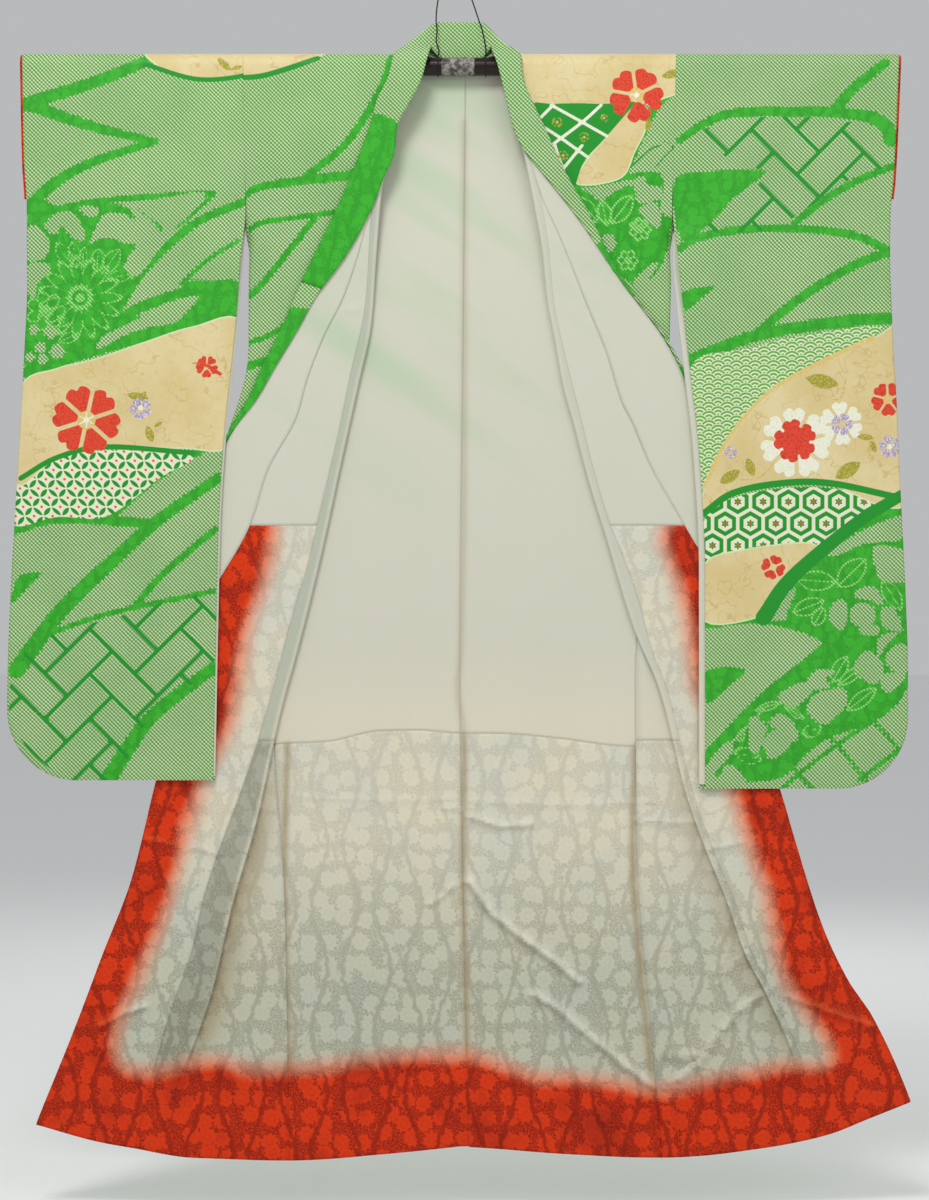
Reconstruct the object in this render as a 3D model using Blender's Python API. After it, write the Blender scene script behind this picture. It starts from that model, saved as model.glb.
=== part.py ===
import math

import bpy
import numpy as np

# A furisode kimono that hangs open on a lacquered rod. X runs across, -Y faces the viewer
# and +Z is up. The origin is the middle of the rod. Everything is in metres.

# The rod and what it hangs by
rod_radius = 0.0135
rod_half_length = 0.645
film_wall = 0.0008
film_gap = 0.0004
film_half_length = 0.0245
film_middle = -0.0030
cord_diameter = 0.002
ring_radius = 0.008
ring_wire_radius = 0.0014
ring_centre = (-0.014, 0.0, 0.191)
ring_steps = 20
wrap_from = 105
wrap_to = 421
wrap_step = 15
cord_steps = 24
cord_step_growth = 1.3
round_sides = 32

# Cloth
outer_wall = 0.0012
lining_wall = 0.0010
seam_gap = 0.0003
collar_wall = 0.0012
overcollar_wall = 0.0010
laminate = outer_wall + seam_gap + lining_wall
outer_offset = (laminate - outer_wall) / 2
lining_offset = -(laminate - lining_wall) / 2

# The cloth's drape: one radius over the rod, then the layers fall together below it
drape_radius = 0.0175
fall_length = 0.40
back_rest_depth = 0.00335
front_rest_depth = 0.00225
layer_step = 0.0056
fold_radius = layer_step / 2

# The garment
front_width = 0.232
cuff_opening = 0.205
sleeve_corner_radius = 0.105
sleeve_front_depth = 0.0190
sleeve_back_depth = 0.0150
sleeve_swing_end = 0.46
hem_level = -1.62
hem_drop_top = -1.30
hem_lining_top = -1.013
okumi_top = -0.25
okumi_lining_top = -0.69
armhole_fade = 0.10
armhole_share = 0.3
cuff_fade = 0.03
cuff_roll = 0.0035
sleeve_shares = (0.0, 0.12, 0.35, 0.65, 0.96, 1.0)
armhole_bottom = -0.215
curl_height = 0.115
curl_steps = 2
curl_least_turn = 0.01
seam_lap = 0.002
hidden_top = -0.42
hidden_height = 0.16
opening_top = -1.36
opening_across = 0.7
opening_in_depth = 1.4
collar_step = 0.0043
collar_bend = 0.0026
collar_lip_step = 0.0020
collar_lip_width = 0.0030
hem_roll = 0.002

shoulder_level = drape_radius * math.pi / 2 - seam_gap / 2

# Levels down the body. Those above zero are lengths of the arc over the rod.
body_levels = (
    shoulder_level, shoulder_level - 0.002, 0.018, 0.009, 0.0, -0.03, -0.07, -0.12, -0.17, -0.21,
    okumi_top, -0.29, -0.33, -0.41, -0.49, -0.58, okumi_lining_top, -0.724, -0.787, -0.90,
    hem_lining_top, -1.13, -1.25, opening_top, -1.48, -1.52, -1.56, hem_level,
)
# Levels down the sleeves, above the rounded corner, and the turns round that corner in degrees
sleeve_straight_levels = (
    shoulder_level, shoulder_level - 0.002, 0.018, 0.009, 0.0, -0.07, -0.14, -cuff_opening, -0.235,
    -0.33, -0.46, -0.60, -0.76,
)
sleeve_corner_turns = (0, 35, 65, 90)

# Each line of the garment is a table of (level, distance from the middle)
sides = {
    "left": {
        "middle_sway": ((0.03, -0.009), (-0.40, -0.005), (-0.90, 0.0), (-1.20, -0.004), (-1.62, -0.0135)),
        "armhole": ((0.03, 0.3250), (-0.215, 0.3205), (-0.33, 0.3165), (-0.45, 0.3170)),
        "side_seam": ((-0.33, 0.3165), (-0.50, 0.3150), (-0.742, 0.2880), (-1.02, 0.2800),
                      (-1.25, 0.2640), (-1.62, 0.2565)),
        "fold": ((0.03, 0.0470), (-0.022, 0.0590), (-0.058, 0.0770), (-0.092, 0.0945), (-0.130, 0.0995),
                 (-0.176, 0.1165), (-0.277, 0.1260), (-0.382, 0.1335), (-0.482, 0.1545),
                 (-0.577, 0.1755), (-0.742, 0.2115), (-0.869, 0.2430), (-0.968, 0.2700),
                 (-1.132, 0.3060), (-1.252, 0.3405), (-1.414, 0.3800), (-1.537, 0.4300),
                 (-1.62, 0.4650)),
        "okumi_seam": ((-0.214, 0.1330), (-0.349, 0.1410), (-0.482, 0.1680), (-0.563, 0.1845),
                       (-0.670, 0.2100), (-0.742, 0.2265), (-0.839, 0.2550), (-0.952, 0.2850),
                       (-1.037, 0.3105), (-1.252, 0.3855), (-1.319, 0.4000), (-1.447, 0.4450),
                       (-1.62, 0.4890)),
        "collar_seam": ((0.03, 0.0530), (-0.022, 0.0650), (-0.058, 0.0830), (-0.092, 0.1005),
                        (-0.130, 0.1060), (-0.176, 0.1240), (-0.221, 0.1360), (-0.286, 0.1530),
                        (-0.350, 0.1755), (-0.403, 0.2025), (-0.472, 0.2295), (-0.526, 0.2445),
                        (-0.610, 0.2895), (-0.686, 0.3135), (-0.787, 0.3705)),
        "front_edge": ((-0.787, 0.3705), (-0.862, 0.3960), (-0.952, 0.4230), (-1.072, 0.4560),
                       (-1.222, 0.4935), (-1.343, 0.5400), (-1.62, 0.6375)),
        "hem": ((0.0, -1.6215), (0.117, -1.6340), (0.2595, -1.6430), (0.399, -1.6390),
                (0.489, -1.6250), (0.540, -1.6160), (0.6375, -1.5890)),
        "sleeve_inner": ((0.03, 0.3257), (-0.10, 0.3233), (-0.16, 0.3222), (-0.215, 0.3214),
                         (-0.289, 0.3285), (-0.391, 0.3360), (-0.565, 0.3540), (-0.689, 0.3615),
                         (-0.834, 0.3650), (-1.072, 0.3695)),
        "sleeve_outer": ((0.03, 0.6560), (-0.143, 0.6525), (-0.212, 0.6486), (-0.325, 0.6480),
                         (-0.463, 0.6540), (-0.608, 0.6624), (-0.689, 0.6668), (-0.820, 0.6740),
                         (-0.960, 0.6777), (-1.072, 0.6777)),
        "sleeve_back_reach": 0.003,
        "sleeve_bottom": -1.0715,
    },
    "right": {
        "middle_sway": ((0.03, 0.009), (-0.40, 0.005), (-0.90, 0.0), (-1.20, 0.004), (-1.62, 0.0135)),
        "armhole": ((0.03, 0.3240), (-0.215, 0.3180), (-0.33, 0.3160), (-0.45, 0.3130)),
        "side_seam": ((-0.33, 0.3160), (-0.50, 0.3080), (-0.742, 0.2800), (-0.922, 0.2640),
                      (-1.169, 0.2660), (-1.297, 0.2730), (-1.427, 0.2865), (-1.62, 0.3030)),
        "fold": ((0.03, 0.0485), (-0.022, 0.0635), (-0.091, 0.0800), (-0.122, 0.0935),
                 (-0.160, 0.1020), (-0.205, 0.1110), (-0.277, 0.1240), (-0.352, 0.1320),
                 (-0.416, 0.1440), (-0.482, 0.1560), (-0.547, 0.1740), (-0.611, 0.1905),
                 (-0.709, 0.2205), (-0.842, 0.2610), (-0.940, 0.3015), (-1.094, 0.3405),
                 (-1.175, 0.3690), (-1.252, 0.4005), (-1.330, 0.4275), (-1.390, 0.4590),
                 (-1.498, 0.5055), (-1.62, 0.5350)),
        "okumi_seam": ((-0.205, 0.1225), (-0.277, 0.1330), (-0.352, 0.1400), (-0.449, 0.1605),
                       (-0.514, 0.1770), (-0.596, 0.1970), (-0.686, 0.2235), (-0.733, 0.2430),
                       (-0.806, 0.2685), (-0.875, 0.2865), (-0.940, 0.3110), (-1.094, 0.3500),
                       (-1.175, 0.3785), (-1.252, 0.4100), (-1.330, 0.4370), (-1.390, 0.4680),
                       (-1.498, 0.5120), (-1.62, 0.5430)),
        "collar_seam": ((0.03, 0.0545), (-0.022, 0.0695), (-0.091, 0.0860), (-0.122, 0.1000),
                        (-0.160, 0.1095), (-0.205, 0.1250), (-0.250, 0.1460), (-0.295, 0.1650),
                        (-0.352, 0.1875), (-0.433, 0.2205), (-0.505, 0.2430), (-0.538, 0.2595),
                        (-0.602, 0.2865), (-0.668, 0.3240), (-0.724, 0.3570)),
        "front_edge": ((-0.724, 0.3570), (-0.802, 0.3825), (-0.937, 0.4275), (-1.090, 0.4815),
                       (-1.156, 0.5010), (-1.288, 0.5430), (-1.372, 0.5805), (-1.442, 0.6180),
                       (-1.62, 0.6780)),
        "hem": ((0.0, -1.6215), (0.0465, -1.6250), (0.1725, -1.6340), (0.303, -1.6390),
                (0.453, -1.6250), (0.5475, -1.6060), (0.6225, -1.5770), (0.678, -1.5550)),
        "sleeve_inner": ((0.03, 0.3247), (-0.10, 0.3217), (-0.16, 0.3202), (-0.215, 0.3189),
                         (-0.281, 0.3260), (-0.368, 0.3345), (-0.463, 0.3450), (-0.580, 0.3580),
                         (-0.761, 0.3669), (-1.076, 0.3669)),
        "sleeve_outer": ((0.03, 0.6585), (-0.173, 0.6490), (-0.216, 0.6446), (-0.274, 0.6435),
                         (-0.398, 0.6475), (-0.514, 0.6540), (-0.631, 0.6590), (-0.797, 0.6670),
                         (-0.907, 0.6705), (-1.080, 0.6705)),
        "sleeve_back_reach": 0.009,
        "sleeve_bottom": -1.084,
    },
}

# The collar round the neck, one row for each station across it. The base is sewn to the body,
# the edge is the fold along its middle, and the free edge is that of the half turned in.
collar_neck_columns = ("base", "edge", "free")
collar_neck = {
    "left": (
        ((0.0000, 0.0200, -0.0020), (0.0000, 0.0178, 0.0680), (0.0000, 0.0142, 0.0130)),
        ((0.0150, 0.0200, -0.0020), (0.0190, 0.0176, 0.0682), (0.0145, 0.0142, 0.0130)),
        ((0.0290, 0.0192, 0.0060), (0.0370, 0.0165, 0.0670), (0.0270, 0.0137, 0.0140)),
        ((0.0440, 0.0135, 0.0170), (0.0590, 0.0105, 0.0500), (0.0370, 0.0090, 0.0210)),
        ((0.0545, 0.0018, 0.0232), (0.0790, -0.0010, 0.0320), (0.0430, -0.0020, 0.0275)),
        ((0.0578, -0.0163, 0.0163), (0.0960, -0.0163, 0.0163), (0.0460, -0.0232, 0.0176)),
    ),
    "right": (
        ((0.0000, 0.0200, -0.0020), (0.0000, 0.0178, 0.0680), (0.0000, 0.0142, 0.0130)),
        ((0.0170, 0.0200, -0.0020), (0.0180, 0.0176, 0.0680), (0.0165, 0.0142, 0.0130)),
        ((0.0330, 0.0190, 0.0070), (0.0350, 0.0165, 0.0670), (0.0310, 0.0137, 0.0140)),
        ((0.0460, 0.0130, 0.0175), (0.0540, 0.0105, 0.0470), (0.0410, 0.0090, 0.0215)),
        ((0.0560, 0.0018, 0.0232), (0.0700, -0.0010, 0.0310), (0.0455, -0.0020, 0.0280)),
        ((0.0602, -0.0163, 0.0163), (0.0885, -0.0163, 0.0163), (0.0490, -0.0232, 0.0176)),
    ),
}
# Down the fronts, by the level of the base: turned is 1 where the half is folded in and 0 where
# the collar has opened out flat
collar_front_columns = ("base_z", "edge_x", "edge_z", "free_x", "free_z", "turned")
collar_front = {
    "left": (
        (0.000, 0.1010, -0.001, 0.0510, 0.000, 1.0),
        (-0.022, 0.1060, -0.020, 0.0570, -0.022, 1.0),
        (-0.058, 0.1230, -0.056, 0.0750, -0.058, 1.0),
        (-0.092, 0.1320, -0.090, 0.0930, -0.092, 1.0),
        (-0.130, 0.1470, -0.130, 0.0975, -0.130, 1.0),
        (-0.180, 0.1690, -0.185, 0.1145, -0.172, 1.0),
        (-0.228, 0.1920, -0.234, 0.1350, -0.222, 1.0),
        (-0.290, 0.2175, -0.286, 0.1695, -0.284, 1.0),
        (-0.350, 0.2430, -0.338, 0.2175, -0.350, 1.0),
        (-0.403, 0.2660, -0.391, 0.2440, -0.398, 1.0),
        (-0.472, 0.2960, -0.450, 0.2790, -0.456, 1.0),
        (-0.532, 0.3180, -0.500, 0.3060, -0.506, 0.8),
        (-0.610, 0.3510, -0.557, 0.3470, -0.560, 0.2),
        (-0.686, 0.3980, -0.640, 0.3960, -0.642, 0.0),
        (-0.740, 0.4280, -0.705, 0.4260, -0.706, 0.0),
        (-0.787, 0.4500, -0.770, 0.4480, -0.770, 0.0),
    ),
    "right": (
        (0.000, 0.0905, -0.004, 0.0555, 0.000, 1.0),
        (-0.022, 0.0945, -0.028, 0.0615, -0.022, 1.0),
        (-0.058, 0.1075, -0.058, 0.0700, -0.058, 1.0),
        (-0.091, 0.1280, -0.101, 0.0780, -0.091, 1.0),
        (-0.125, 0.1480, -0.145, 0.0930, -0.125, 1.0),
        (-0.172, 0.1700, -0.186, 0.1185, -0.157, 1.0),
        (-0.212, 0.1905, -0.221, 0.1455, -0.190, 1.0),
        (-0.252, 0.2085, -0.257, 0.1740, -0.226, 1.0),
        (-0.308, 0.2400, -0.317, 0.2230, -0.296, 1.0),
        (-0.352, 0.2700, -0.357, 0.2580, -0.344, 0.9),
        (-0.433, 0.3105, -0.410, 0.3030, -0.402, 0.4),
        (-0.505, 0.3420, -0.469, 0.3380, -0.466, 0.1),
        (-0.602, 0.3750, -0.555, 0.3730, -0.554, 0.0),
        (-0.668, 0.4000, -0.630, 0.3980, -0.630, 0.0),
        (-0.724, 0.4200, -0.700, 0.4180, -0.700, 0.0),
    ),
}
overcollar_end = -0.34
collar_lining_top = {"left": -0.20, "right": -0.10}

# How far round the rod the back's neckline reaches, as a share of a quarter turn
neckline = (
    (0.0, 0.03), (0.021, 0.12), (0.030, 0.34), (0.039, 0.66), (0.047, 1.0),
)

# Each cord's distance across and depth at heights above the rod
cords = {
    "left": {
        "wrap": -0.0330,
        "across": ((0.0128, -0.0330), (0.0160, -0.0330), (0.0233, -0.0315), (0.0398, -0.0360),
                   (0.0533, -0.0345), (0.0683, -0.0360), (0.1808, -0.0154)),
    },
    "right": {
        "wrap": 0.0385,
        "across": ((0.0128, 0.0385), (0.0160, 0.0385), (0.0233, 0.0390), (0.0368, 0.0372),
                   (0.0503, 0.0345), (0.0623, 0.0315), (0.0683, 0.0290), (0.0908, 0.0215),
                   (0.1808, -0.0126)),
    },
}
cord_depths = (
    (0.0128, 0.0074), (0.0143, 0.0052), (0.0165, 0.0034), (0.0200, 0.0024), (0.0683, 0.0018),
    (0.1808, 0.0),
)

colours = {
    "outer_cloth": (0.20, 0.55, 0.20, 1.0, 0.75, 0.0),
    "collar_cloth": (0.28, 0.60, 0.26, 1.0, 0.75, 0.0),
    "white_silk": (0.74, 0.76, 0.66, 1.0, 0.55, 0.0),
    "hem_silk": (0.72, 0.16, 0.06, 1.0, 0.50, 0.0),
    "rod_lacquer": (0.05, 0.006, 0.012, 1.0, 0.25, 0.0),
    "clear_film": (0.55, 0.50, 0.52, 1.0, 0.20, 0.0),
    "black_cord": (0.01, 0.01, 0.01, 1.0, 0.80, 0.0),
    "ring_metal": (0.55, 0.55, 0.56, 1.0, 0.30, 1.0),
}


def clear_scene():
    for obj in list(bpy.data.objects):
        bpy.data.objects.remove(obj, do_unlink=True)


def material(name):
    found = bpy.data.materials.get(name)
    if found:
        return found
    made = bpy.data.materials.new(name)
    made.use_nodes = True
    red, green, blue, alpha, roughness, metallic = colours[name]
    shader = made.node_tree.nodes["Principled BSDF"]
    shader.inputs["Base Color"].default_value = (red, green, blue, alpha)
    shader.inputs["Roughness"].default_value = roughness
    shader.inputs["Metallic"].default_value = metallic
    return made


def smooth(value):
    value = min(max(value, 0.0), 1.0)
    return value * value * (3 - 2 * value)


def read(table, level):
    """The table's value at a level, on a smooth curve through its rows."""
    rows = sorted(table)
    x = [row[0] for row in rows]
    y = [row[1] for row in rows]
    if level <= x[0]:
        return y[0]
    if level >= x[-1]:
        return y[-1]
    step = [(y[i + 1] - y[i]) / (x[i + 1] - x[i]) for i in range(len(x) - 1)]
    lean = [step[0]] + [
        0.0 if step[i - 1] * step[i] <= 0 else 2 * step[i - 1] * step[i] / (step[i - 1] + step[i])
        for i in range(1, len(step))
    ] + [step[-1]]
    i = max(k for k in range(len(x) - 1) if x[k] <= level)
    width = x[i + 1] - x[i]
    t = (level - x[i]) / width
    return (
        y[i] * (1 + 2 * t) * (1 - t) ** 2
        + lean[i] * width * t * (1 - t) ** 2
        + y[i + 1] * t * t * (3 - 2 * t)
        + lean[i + 1] * width * t * t * (t - 1)
    )


def near_rod(level):
    """1 at the rod's height and 0 where the layers have come together below it."""
    return (1 + math.cos(math.pi * min(max(-level / fall_length, 0.0), 1.0))) / 2


def front_depth(level):
    return front_rest_depth + (drape_radius - front_rest_depth) * near_rod(level)


def back_depth(level):
    return back_rest_depth + (drape_radius - back_rest_depth) * near_rod(level)


def hang(facing, across, level, lift, depth, drop=0.0):
    """A point of a layer: facing is -1 in front and 1 behind, and lift is away from the rod."""
    if level >= 0:
        angle = level / drape_radius
        return (
            across,
            facing * (drape_radius + lift) * math.cos(angle),
            (drape_radius + lift) * math.sin(angle),
        )
    return across, facing * (depth(level) + lift), level + drop


def hem_drop(side, across, level, roll):
    """How far the curved hem pulls a level down. The lining's own edge rolls a little below it."""
    share = smooth((hem_drop_top - level) / (hem_drop_top - hem_level))
    drop = share * (read(sides[side]["hem"], across) - hem_level)
    return drop - roll if level == hem_level else drop


def directions(grid, axis):
    """The mean direction of the two steps that meet at each point, along one axis."""
    steps = np.diff(grid, axis=axis)
    steps /= np.linalg.norm(steps, axis=2, keepdims=True)
    first = np.take(steps, [0], axis=axis)
    last = np.take(steps, [-1], axis=axis)
    before = np.concatenate([first, steps], axis=axis)
    after = np.concatenate([steps, last], axis=axis)
    return before + after


def add_wall(name, grid, offset, thickness, colour, mirrored=False):
    """A closed wall whose middle lies offset from the grid, along the grid's normals."""
    grid = np.asarray(grid, float)
    rows, columns = grid.shape[:2]
    normal = np.cross(directions(grid, 1), directions(grid, 0))
    normal /= np.linalg.norm(normal, axis=2, keepdims=True)
    outer = grid + normal * (offset + thickness / 2)
    inner = grid + normal * (offset - thickness / 2)
    points = np.concatenate([outer.reshape(-1, 3), inner.reshape(-1, 3)])
    if mirrored:
        points = points * (-1, 1, 1)
    count = rows * columns

    def at(row, column):
        return row * columns + column

    faces = []
    for i in range(rows - 1):
        for j in range(columns - 1):
            a, b = at(i, j), at(i, j + 1)
            c, d = at(i + 1, j + 1), at(i + 1, j)
            for corners in ((a, b, c), (a, c, d)):
                faces.append(corners)
                faces.append(tuple(count + corner for corner in reversed(corners)))
    rim = [at(0, j) for j in range(columns)]
    rim += [at(i, columns - 1) for i in range(1, rows)]
    rim += [at(rows - 1, j) for j in range(columns - 2, -1, -1)]
    rim += [at(i, 0) for i in range(rows - 2, 0, -1)]
    for first, second in zip(rim, rim[1:] + rim[:1]):
        faces.append((second, first, count + first, count + second))
    if mirrored:
        faces = [tuple(reversed(face)) for face in faces]
    mesh = bpy.data.meshes.new(name)
    mesh.from_pydata(points.tolist(), [], faces)
    mesh.update()
    obj = bpy.data.objects.new(name, mesh)
    bpy.context.collection.objects.link(obj)
    mesh.materials.append(material(colour))
    return obj


def hidden_fold(side, level, seam, end):
    """How far out the front goes before it turns in. Beside the armhole it stops at the edge
    that shows, and lower down the panel's width gives it."""
    shown = read(sides[side]["armhole"], level)
    wide = (front_width + seam + 2 * read(sides[side]["fold"], level) - end) / 2
    return shown + (wide - shown) * smooth((hidden_top - level) / hidden_height)


def side_edge(side, level):
    """Distance of the armhole's edge and, below it, of the side seam."""
    armhole = read(sides[side]["armhole"], level)
    seam = read(sides[side]["side_seam"], level)
    seam = min(seam, armhole + behind(level) / 2 - seam_lap)
    return armhole + (seam - armhole) * smooth((armhole_bottom - level) / curl_height)


def back_grid(side, levels, roll=0.0):
    """The back from the middle seam out to the side seam."""
    lines = sides[side]
    grid = []
    for level in levels:
        middle = read(lines["middle_sway"], level) + seam_gap / 2
        reach = side_edge(side, level) - seam_gap / 2
        row = []
        spots = [middle] + [spot for spot, _ in neckline[1:]]
        spots += [spots[-1] + (reach - spots[-1]) * share for share in (0.5, 1.0)]
        for across in spots:
            # the neckline is lower than the shoulder and lies behind the rod
            high = level * read(neckline, across) if level > 0 else level
            row.append(hang(1, across, high, 0.0, back_depth, hem_drop(side, across, level, roll)))
        grid.append(row)
    return grid


def behind(level):
    """The lift that brings a front layer back to the depth of the back."""
    return -(front_depth(level) + back_depth(level))


def opening(level):
    """How far the folds have opened out flat towards the hem: across, and in depth."""
    share = smooth((level - opening_top) / (hem_level - opening_top))
    return share ** opening_across, share ** opening_in_depth


def curl(level, start, length, share):
    """The front's side edge as it rolls back to meet the back at the side seam."""
    angle = math.pi * share
    arc = math.pi * -behind(level) / 2
    points = []
    for i in range(curl_steps + 1):
        along = arc * i / curl_steps
        if angle < curl_least_turn:
            points.append((start + along, 0.0))
        else:
            turn = angle * i / curl_steps
            radius = arc / angle
            points.append((start + radius * math.sin(turn), -radius * (1 - math.cos(turn))))
    x, y = points[-1]
    points.append((x + length * math.cos(angle), y - length * math.sin(angle)))
    deepest = min(y for x, y in points)
    if deepest < behind(level):
        points = [(x, y * behind(level) / deepest) for x, y in points]
    return points[::-1]


def front_section(side, level):
    """Distances and lifts of the front's cloth from the side seam to the okumi seam. It goes
    out behind itself, turns in at the hidden fold, and turns out again at the open fold."""
    lines = sides[side]
    fold = read(lines["fold"], level)
    seam = side_edge(side, level) + seam_gap / 2
    end = read(lines["collar_seam"], level) if level > okumi_top else read(lines["okumi_seam"], level)
    end = end - seam_gap / 2
    edge = read(lines["armhole"], level) - seam_gap / 2
    curled = smooth((armhole_bottom - level) / curl_height)
    turn_radius = -behind(level) / 2
    reach = hidden_fold(side, level, seam, end) - turn_radius
    uncurled = edge - math.pi * turn_radius - seam_lap
    length = max(seam_lap / 2, (reach - seam) * curled)
    start = uncurled + (reach - uncurled) * curled
    section = curl(level, start, length, curled)
    inner = fold + fold_radius
    section.append(((start + inner) / 2, 0.0))
    for degrees in (90, 0, -90):
        turn = math.radians(degrees)
        section.append((inner - fold_radius * math.cos(turn), fold_radius * (1 - math.sin(turn))))
    section.append((end, layer_step))
    lengths = [0.0]
    for (x0, y0), (x1, y1) in zip(section, section[1:]):
        lengths.append(lengths[-1] + math.hypot(x1 - x0, y1 - y0))
    opened, flattened = opening(level)
    spread = []
    for (x, y), length in zip(section, lengths):
        flat = seam + (end - seam) * length / lengths[-1]
        spread.append((x + (flat - x) * opened, y + (behind(level) - y) * flattened))
    return spread


def okumi_lift(level):
    """How far the turned-back layer stands in front of the front panel's own layer."""
    return layer_step + (behind(level) - layer_step) * opening(level)[1]


def front_grid(side, levels, roll=0.0):
    grid = []
    for level in levels:
        row = []
        for across, lift in front_section(side, level):
            drop = hem_drop(side, across, level, roll)
            row.append(hang(-1, across, level, lift, front_depth, drop))
        grid.append(row)
    return grid


def okumi_grid(side, levels, roll=0.0):
    lines = sides[side]
    collar_end = min(row[0] for row in lines["collar_seam"])
    grid = []
    for level in levels:
        start = read(lines["okumi_seam"], level) + seam_gap / 2
        line = "collar_seam" if level > collar_end else "front_edge"
        end = read(lines[line], level) - seam_gap / 2
        row = []
        for share in (0.0, 0.5, 1.0):
            across = start + (end - start) * share
            drop = hem_drop(side, across, level, roll)
            row.append(hang(-1, across, level, okumi_lift(level), front_depth, drop))
        grid.append(row)
    return grid


def add_body(side):
    mirrored = side == "left"
    upper = [level for level in body_levels if level > hem_lining_top]
    upper.append(hem_lining_top + seam_gap / 2)
    lower = [hem_lining_top - seam_gap / 2]
    lower += [level for level in body_levels if level < hem_lining_top]
    for name, grid in (("back", back_grid), ("front", front_grid)):
        add_wall(
            f"{name}_{side}", grid(side, body_levels), outer_offset, outer_wall,
            "outer_cloth", mirrored,
        )
        add_wall(
            f"{name}_lining_{side}", grid(side, upper), lining_offset, lining_wall,
            "white_silk", mirrored,
        )
        add_wall(
            f"{name}_hem_lining_{side}", grid(side, lower, hem_roll), lining_offset, lining_wall,
            "hem_silk", mirrored,
        )
    okumi_levels = [okumi_top] + [level for level in body_levels if level < okumi_top]
    okumi_upper = [level for level in okumi_levels if level > okumi_lining_top]
    okumi_upper.append(okumi_lining_top + seam_gap / 2)
    okumi_lower = [okumi_lining_top - seam_gap / 2]
    okumi_lower += [level for level in okumi_levels if level < okumi_lining_top]
    # The okumi is turned back, so its outer face looks away from the viewer. Its end, where the
    # fold opens out towards the hem, is a solid of its own.
    okumi_body = [level for level in okumi_levels if level > opening_top]
    okumi_body.append(opening_top + seam_gap / 2)
    okumi_end = [opening_top - seam_gap / 2]
    okumi_end += [level for level in okumi_levels if level < opening_top]
    for name, levels in (("okumi", okumi_body), ("okumi_end", okumi_end)):
        add_wall(
            f"{name}_{side}", okumi_grid(side, levels), outer_offset, outer_wall,
            "outer_cloth", mirrored,
        )
    add_wall(
        f"okumi_lining_{side}", okumi_grid(side, okumi_upper), lining_offset, lining_wall,
        "white_silk", mirrored,
    )
    add_wall(
        f"okumi_hem_lining_{side}", okumi_grid(side, okumi_lower, hem_roll), lining_offset,
        lining_wall, "hem_silk", mirrored,
    )


def collar_levels(side):
    lowest = min(row[0] for row in sides[side]["collar_seam"])
    return [level for level in body_levels if lowest <= level <= 0]


def collar_stations(side):
    """The base, edge and free edge of the collar at each station, and how far it is turned."""
    stations = []
    for row in collar_neck[side]:
        points = dict(zip(collar_neck_columns, row))
        base, edge, free = (np.array(points[name]) for name in collar_neck_columns)
        stations.append((base, edge, free, 1.0))
    table = collar_front[side]
    for level in collar_levels(side):
        base_x = read(sides[side]["collar_seam"], level) + seam_gap / 2
        edge_x, edge_z, free_x, free_z, turned = (
            read([(row[0], row[i]) for row in table], level)
            for i in range(1, len(collar_front_columns))
        )
        lift = layer_step + collar_lip_step + (collar_step - collar_lip_step) * turned
        base = np.array(hang(-1, base_x, level, layer_step, front_depth))
        edge = np.array(hang(-1, edge_x, edge_z, layer_step, front_depth))
        free = np.array(hang(-1, free_x, free_z, lift, front_depth))
        stations.append((base, edge, free, turned))
    return stations


def collar_points(base, edge, free, turned):
    """Points across the folded strip: out along the half that is sewn on, round the fold and
    back along the half that is turned in. Where it has opened flat only a lip is left."""
    out = (edge - base) / np.linalg.norm(edge - base)
    step = collar_lip_step + (collar_step - collar_lip_step) * turned
    over = np.array((0.0, -step, 0.0))
    bend = edge - out * collar_bend * step / collar_step
    lip = edge + over - out * collar_lip_width
    free = lip + (free - lip) * turned
    return [base, (base + edge) / 2, bend, edge + over / 2, bend + over, (bend + over + free) / 2, free]


def collar_lining_points(base, edge, free, turned):
    out = (edge - base) / np.linalg.norm(edge - base)
    end = edge - out * (collar_bend + collar_lip_width * (1 - turned))
    return [base, (base + end) / 2, end]


def add_collar():
    left, right = (
        np.array([collar_points(*station) for station in collar_stations(side)])
        for side in ("left", "right")
    )
    left = left * (-1, 1, 1)
    add_wall("collar", np.concatenate([left[:0:-1], right]), 0.0, collar_wall, "collar_cloth")
    covered = len(collar_neck["left"]) + len([z for z in collar_levels("left") if z > overcollar_end])
    outside = (collar_wall + overcollar_wall) / 2 + seam_gap
    over = np.concatenate([left[covered - 1:0:-1], right[:covered]])
    add_wall("overcollar", over, outside, overcollar_wall, "collar_cloth")
    inside = -(collar_wall + lining_wall) / 2 - seam_gap
    for side in ("left", "right"):
        shown = [
            collar_lining_points(*station) for station in collar_stations(side)
            if station[0][2] < collar_lining_top[side]
        ]
        add_wall(f"collar_lining_{side}", shown, inside, lining_wall, "white_silk", side == "left")


def sleeve_levels(side):
    bottom = sides[side]["sleeve_bottom"]
    corner = [
        bottom + sleeve_corner_radius * (1 - math.sin(math.radians(degrees)))
        for degrees in sleeve_corner_turns
    ]
    return list(sleeve_straight_levels) + corner


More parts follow.
